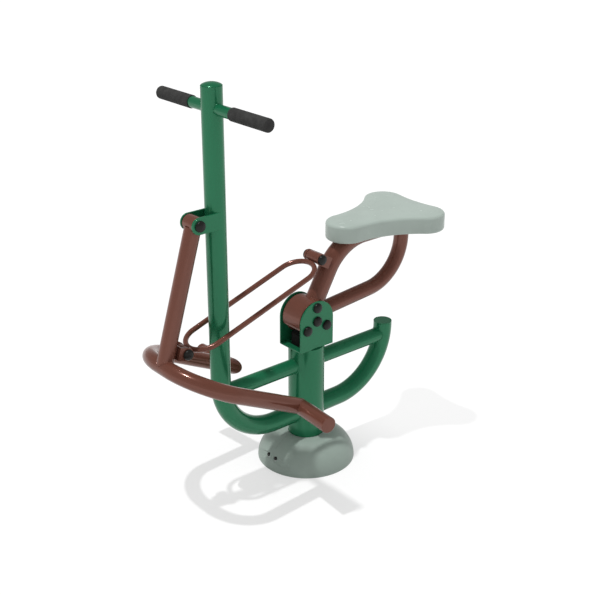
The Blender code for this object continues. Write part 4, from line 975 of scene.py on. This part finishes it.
def link_bracket(end, pivot, beside, tube_radius, radius, half_width, body):
    """A link pin and its U-shaped bracket: the web stands on the tube, the two ears hold the pin."""
    outward = (pivot - beside).normalized()
    upward = ACROSS.cross(outward)
    foot = beside + outward * (tube_radius - BRACKET_SINK)
    corners = [foot - upward * radius] + arc(pivot, outward, upward, radius, -90, 90) + [foot + upward * radius]
    inner = foot + outward * BRACKET_WEB
    outer = pivot + outward * radius * 2
    reach = upward * radius * 2
    inside = half_width - EAR_THICKNESS
    room = prism(in_plane([inner - reach, outer - reach, outer + reach, inner + reach]), -inside, inside)
    room = new_piece("bracket_room", room, BROWN, STANDING)
    plate(end + "_bracket", in_plane(corners), -half_width, half_width, body, cutters=[room])
    toe = beside + outward * sqrt(tube_radius ** 2 - BRACKET_BEAD_OFF ** 2)
    half = upward * radius * BRACKET_BEAD_SHARE
    lines = [[toe + ACROSS * (side * BRACKET_BEAD_OFF) + half * share for share in even(-1, 1, 24)]
             for side in (-1, 1)]
    beads(end + "_bracket_welds", lines, BEAD_RADIUS, body, closed=False)
    cross_pin(end + "_pivot_caps", pivot, half_width, LINK_PIN_RADIUS, body, end + "_pin")


def foot_lever():
    ends = [LEVER_AXIS + LEVER_DOWN * LEVER_TUBE_START, BOW_APEX - LEVER_DOWN * 0.004]
    swept("lever_main_tube", ends, LEVER_RADIUS, "foot_lever", "lever_tube")
    face = FRAME_RADIUS - CLEVIS_THICKNESS - FIT
    barrel("lever_barrel", LEVER_AXIS, LEVER_PIN_RADIUS + BUSH_SEAT, LEVER_BARREL_RADIUS, face - BUSH_FLANGE - FIT,
           ROUND_SIDES, "foot_lever", "lever_hub")
    bushes("lever_bush", LEVER_AXIS, face, LEVER_PIN_RADIUS, LEVER_BARREL_RADIUS, "foot_lever")


def foot_bow():
    """The bow, the two pegs mitred to its ends, and their welds."""
    path = bow_path()
    faces = {side: (BOW_BACK + peg_direction(side)).normalized() for side in (-1, 1)}
    across = BOW_BACK.cross(ACROSS).normalized()
    ways = [(after - before).normalized() for before, after in zip(path, path[1:])]
    ends = {0: faces[-1], len(ways): faces[1]}
    rings = [rim(point, (before + after).normalized(), across, face=ends.get(index))
             for index, (point, before, after) in enumerate(zip(path, ways[:1] + ways, ways + ways[-1:]))]
    mount(new_piece("foot_bow_tube", skinned(rings), BROWN), "foot_lever", "foot_bow")
    mitres = []
    for name, side, corner in (("left_foot_peg", -1, path[0]), ("right_foot_peg", 1, path[-1])):
        way = peg_direction(side)
        across = way.cross(BOW_BACK).normalized()
        end = corner + way * PEG_LENGTH
        rings = [rim(corner, way, across, face=faces[side])]
        rings += [rim(end - way * PEG_EDGE * (1 - sin(angle)), way, across, LEVER_RADIUS - PEG_EDGE * (1 - cos(angle)))
                  for angle in quarter(6)]
        mount(new_piece(name + "_bar", skinned(rings), BROWN), "foot_lever", name)
        mitres.append(mitre_line(corner, way, faces[side]))
    beads("foot_bar_mitre_welds", mitres, SMALL_BEAD_RADIUS, "foot_lever")
    seam = saddle(LEVER_AXIS, LEVER_DOWN, LEVER_RADIUS - 0.0006, BOW_APEX, ACROSS, LEVER_RADIUS)
    beads("lever_foot_weld", [seam], BEAD_RADIUS, "foot_lever")
    link_bracket("front_link", FRONT_PIVOT, FRONT_PIVOT - LEVER_BACK * FRONT_PIVOT_OFF, LEVER_RADIUS,
                 FRONT_EAR_RADIUS, FRONT_EAR_HALF_WIDTH, "foot_lever")


# Link

def link():
    swept("link_loop_bar", loop_path(), ROD_RADIUS, "link", "link_loop", True, ROD_SIDES)
    for node, centre, half, bore in (
            ("link_front_barrel", FRONT_PIVOT, FRONT_BARREL_HALF, LINK_PIN_RADIUS + BUSH_SEAT),
            ("link_rear_barrel", REAR_PIVOT, REAR_BARREL_HALF, REAR_BARREL_BORE)):
        barrel(node + "_sleeve", centre, bore, LINK_BARREL_RADIUS, half, SMALL_SIDES, "link", node)
    face = FRONT_EAR_HALF_WIDTH - EAR_THICKNESS - FIT
    bushes("link_bush", FRONT_PIVOT, face, LINK_PIN_RADIUS, LINK_BARREL_RADIUS, "link")


# Seat arm

def seat_arm():
    centre = (0, HUB.z)
    outline = flat_arc(centre, DRUM_RADIUS, *DRUM_RIM_DEG, 120)
    outline += flat_arc(centre, DRUM_INNER_RADIUS, *DRUM_RIM_DEG[::-1], 120)
    plate("drum_rim", outline, -DRUM_HALF_LENGTH, DRUM_HALF_LENGTH, "seat_arm", "seat_hub")
    mesh = bmesh.new()
    for low, high, outer in ((-DRUM_WEB_OUTER, -DRUM_WEB_INNER, DRUM_INNER_RADIUS),
                             (DRUM_WEB_INNER, DRUM_WEB_OUTER, DRUM_INNER_RADIUS),
                             (-DRUM_WEB_INNER, DRUM_WEB_INNER, HOUSING_RADIUS)):
        turned(band(HOUSING_BORE, outer, low, high), closed=True, mesh=mesh)
    mount(new_piece("drum_webs", mesh, BROWN, standing_at(HUB)), "seat_arm")
    upper = upper_arm_path()
    lower = lower_arm_path()
    swept("upper_arm", upper, UPPER_ARM_RADIUS, "seat_arm", "upper_arm_tube")
    swept("lower_arm", lower, LOWER_ARM_RADIUS, "seat_arm", "lower_arm_tube")
    slope = (lower[1] - lower[0]).normalized()
    lines = [saddle(upper[0], -ARM_UP, UPPER_ARM_RADIUS, HUB, ACROSS, DRUM_RADIUS),
             saddle(lower[0], -slope, LOWER_ARM_RADIUS, HUB, ACROSS, DRUM_RADIUS)]
    beads("seat_arm_welds", lines, BEAD_RADIUS, "seat_arm")
    beside = upper[0] + ARM_UP * (REAR_PIVOT - upper[0]).dot(ARM_UP)
    link_bracket("rear_link", REAR_PIVOT, beside, UPPER_ARM_RADIUS, REAR_EAR_RADIUS, REAR_EAR_HALF_WIDTH, "seat_arm")


def outline_arc(centre, radius, first, last, steps):
    start = degrees(atan2(first.y, first.x))
    turn = (degrees(atan2(last.y, last.x)) - start + 180) % 360 - 180
    return flat_arc(centre, radius, start, start + turn, steps)


def seat_outline(inset):
    """The seat's outline, drawn in by inset: a nose and two lobes joined by hollow arcs."""
    end_radius = SEAT_END_RADIUS - inset
    waist_radius = SEAT_WAIST_RADIUS + inset
    back_radius = SEAT_BACK_RADIUS + inset
    half_span = (SEAT_LOBE - SEAT_NOSE).length / 2
    along = (SEAT_LOBE - SEAT_NOSE).normalized()
    square = Vector((-along.y, along.x))
    rise = sqrt((end_radius + waist_radius) ** 2 - half_span ** 2)
    waist = SEAT_NOSE + along * half_span + square * rise
    back = Vector((SEAT_LOBE.x + sqrt((end_radius + back_radius) ** 2 - SEAT_LOBE.y ** 2), 0))
    half = outline_arc(SEAT_NOSE, end_radius, Vector((-1, 0)), waist - SEAT_NOSE, 32)
    half += outline_arc(waist, waist_radius, SEAT_NOSE - waist, SEAT_LOBE - waist, 28)[1:]
    half += outline_arc(SEAT_LOBE, end_radius, waist - SEAT_LOBE, back - SEAT_LOBE, 40)[1:]
    half += outline_arc(back, back_radius, SEAT_LOBE - back, Vector((-1, 0)), 16)[1:]
    return half + [Vector((point.x, -point.y)) for point in half[-2:0:-1]]


def seat():
    """The moulding: rounded above and below, gently crowned."""
    low = SEAT_BOTTOM_ROUNDING
    high = SEAT_TOP_ROUNDING
    levels = [(0.030, SEAT_BOTTOM), (0.012, SEAT_BOTTOM)]
    levels += [(low * (1 - sin(angle)), SEAT_BOTTOM + low * (1 - cos(angle))) for angle in quarter(8)]
    brow = SEAT_TOP - SEAT_CROWN
    levels += [(high * (1 - cos(angle)), brow - high * (1 - sin(angle))) for angle in quarter(14, 84)]
    inset, level = levels[-1]
    for share in even(0, 1, 16)[1:]:
        levels.append((inset + (SEAT_CROWN_INSET - inset) * share,
                       level + (SEAT_TOP - level) * sin(radians(90 * share)) ** 0.8))
    rings = [[(point.x, point.y, height) for point in seat_outline(drawn_in)] for drawn_in, height in levels]
    mount(new_piece("seat_moulding", skinned(rings), SEAT_PLASTIC), "seat_arm", "seat")


# Carried over pieces

def dress_kept_nodes():
    """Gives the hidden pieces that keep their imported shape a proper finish."""
    # The stop buffers take the near-black rubber, whose darkness also paints the shade inside the hub
    for finish, names in (
            (GREEN, "stop_block"), (BUFFER_RUBBER_AND_SHADE, "stop_buffer_front stop_buffer_rear"),
            (BROWN, "seat_plate"), (BLACKENED_STEEL, "cover_strap_front cover_strap_rear"),
            (ZINC_STEEL, "anchor_plate anchor_bolt_1 anchor_bolt_2 anchor_bolt_3 anchor_bolt_4 hub_axle "
                         "hub_flange_left hub_flange_right hub_bearing_left hub_bearing_right")):
        for name in names.split():
            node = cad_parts[name]
            node.data.materials.clear()
            node.data.materials.append(finish)


# Studio

def grey(level):
    return (level, level, level, 1)


def mixed_by_rays(tree, labels, first, second):
    """The second shader for the kinds of ray named, else the first."""
    rays = tree.nodes.new("ShaderNodeLightPath")
    factor = 0.0
    for label in labels:
        factor = computed(tree, "MAXIMUM", factor, rays.outputs[label])
    pick = add_node(tree, "ShaderNodeMixShader", fac=factor)
    tree.links.new(first, pick.inputs[1])
    tree.links.new(second, pick.inputs[2])
    return pick.outputs[0]


def split_place(tree, kind):
    """The parts of the place that is shaded."""
    place = tree.nodes.new("ShaderNodeTexCoord")
    return add_node(tree, "ShaderNodeSeparateXYZ", vector=place.outputs[kind]).outputs


def studio_sky():
    """Lights the object evenly, and shows white, or in reflections white with a dimmer ceiling."""
    world = bpy.data.worlds.new("studio")
    SCENE.world = world
    world.use_nodes = True
    tree = world.node_tree
    lit = tree.nodes["Background"]
    lit.inputs["Color"].default_value = grey(1.0)
    lit.inputs["Strength"].default_value = SKY_STRENGTH
    seen = add_node(tree, "ShaderNodeBackground", color=grey(1.0))
    ramp = tree.nodes.new("ShaderNodeValToRGB")
    steps = ramp.color_ramp.elements
    for step, (height, level) in zip((steps[0], steps[1]), (CEILING_STEPS[0], CEILING_STEPS[-1])):
        step.position = height
        step.color = grey(level)
    for height, level in CEILING_STEPS[1:-1]:
        steps.new(height).color = grey(level)
    tree.links.new(split_place(tree, "Generated")["Z"], ramp.inputs[0])
    mirrored = add_node(tree, "ShaderNodeBackground", color=ramp.outputs[0])
    shown = mixed_by_rays(tree, ["Is Glossy Ray"], seen.outputs[0], mirrored.outputs[0])
    surface = mixed_by_rays(tree, DIRECT_RAYS, lit.outputs[0], shown)
    tree.links.new(surface, tree.nodes["World Output"].inputs["Surface"])


def floor_finish():
    """Pale floor: it shows white with the shadows on it, and throws little light back up."""
    made, tree, shader = plain_material("studio_floor", grey(FLOOR_NEAR)[:3], 0.9, specular=0.0)
    far = split_place(tree, "Object")["X"]
    tone = between(tree, far, FLOOR_NEAR, FLOOR_FAR, FLOOR_FADE_START, FLOOR_FADE_END)
    tone.node.interpolation_type = "SMOOTHSTEP"
    tint = add_node(tree, "ShaderNodeCombineColor", red=tone, green=tone, blue=tone)
    tree.links.new(tint.outputs[0], shader.inputs["Base Color"])
    missing = computed(tree, "MULTIPLY_ADD", tone, -(SKY_STRENGTH + KEY_SHARE), FLOOR_WHITE)
    glow = add_node(tree, "ShaderNodeEmission", color=grey(1.0), strength=missing)
    shown = tree.nodes.new("ShaderNodeAddShader")
    tree.links.new(shader.outputs[0], shown.inputs[0])
    tree.links.new(glow.outputs[0], shown.inputs[1])
    bounce = add_node(tree, "ShaderNodeBsdfDiffuse", color=grey(FLOOR_BOUNCE))
    surface = mixed_by_rays(tree, DIRECT_RAYS, bounce.outputs[0], shown.outputs[0])
    tree.links.new(surface, tree.nodes["Material Output"].inputs["Surface"])
    return made


def studio():
    studio_sky()
    mesh = bmesh.new()
    bmesh.ops.create_grid(mesh, x_segments=1, y_segments=1, size=FLOOR_SIZE / 2)
    floor = new_piece("studio_floor", mesh, floor_finish(), Matrix.Translation((0, 0, -FLOOR_DROP)))

    data = bpy.data.lights.new("key_light", "SUN")
    data.energy = KEY_SHARE * pi / KEY_TRAVEL.normalized().dot(-UP)
    data.angle = radians(KEY_ANGLE_DEG)
    key = new_object("key_light", data)
    key.location = (0, 0, 3)
    key.rotation_euler = KEY_TRAVEL.to_track_quat("-Z", "Y").to_euler()

    data = bpy.data.cameras.new("camera")
    data.lens = CAMERA_LENS
    data.sensor_width = SENSOR
    data.clip_end = 100.0
    camera = new_object("camera", data)
    camera.location = CAMERA_PLACE
    camera.rotation_euler = (radians(90 - CAMERA_PITCH_DEG), 0, radians(CAMERA_HEADING_DEG))
    SCENE.camera = camera
    SCENE.view_settings.view_transform = "Standard"


fixed_frame()
handlebar()
frame_welds()
lever_clevis()
hub()
half_cover("cover_left", -1)
half_cover("cover_right", 1)
cover_screws()
foot_lever()
foot_bow()
link()
seat_arm()
seat()
dress_kept_nodes()
studio()
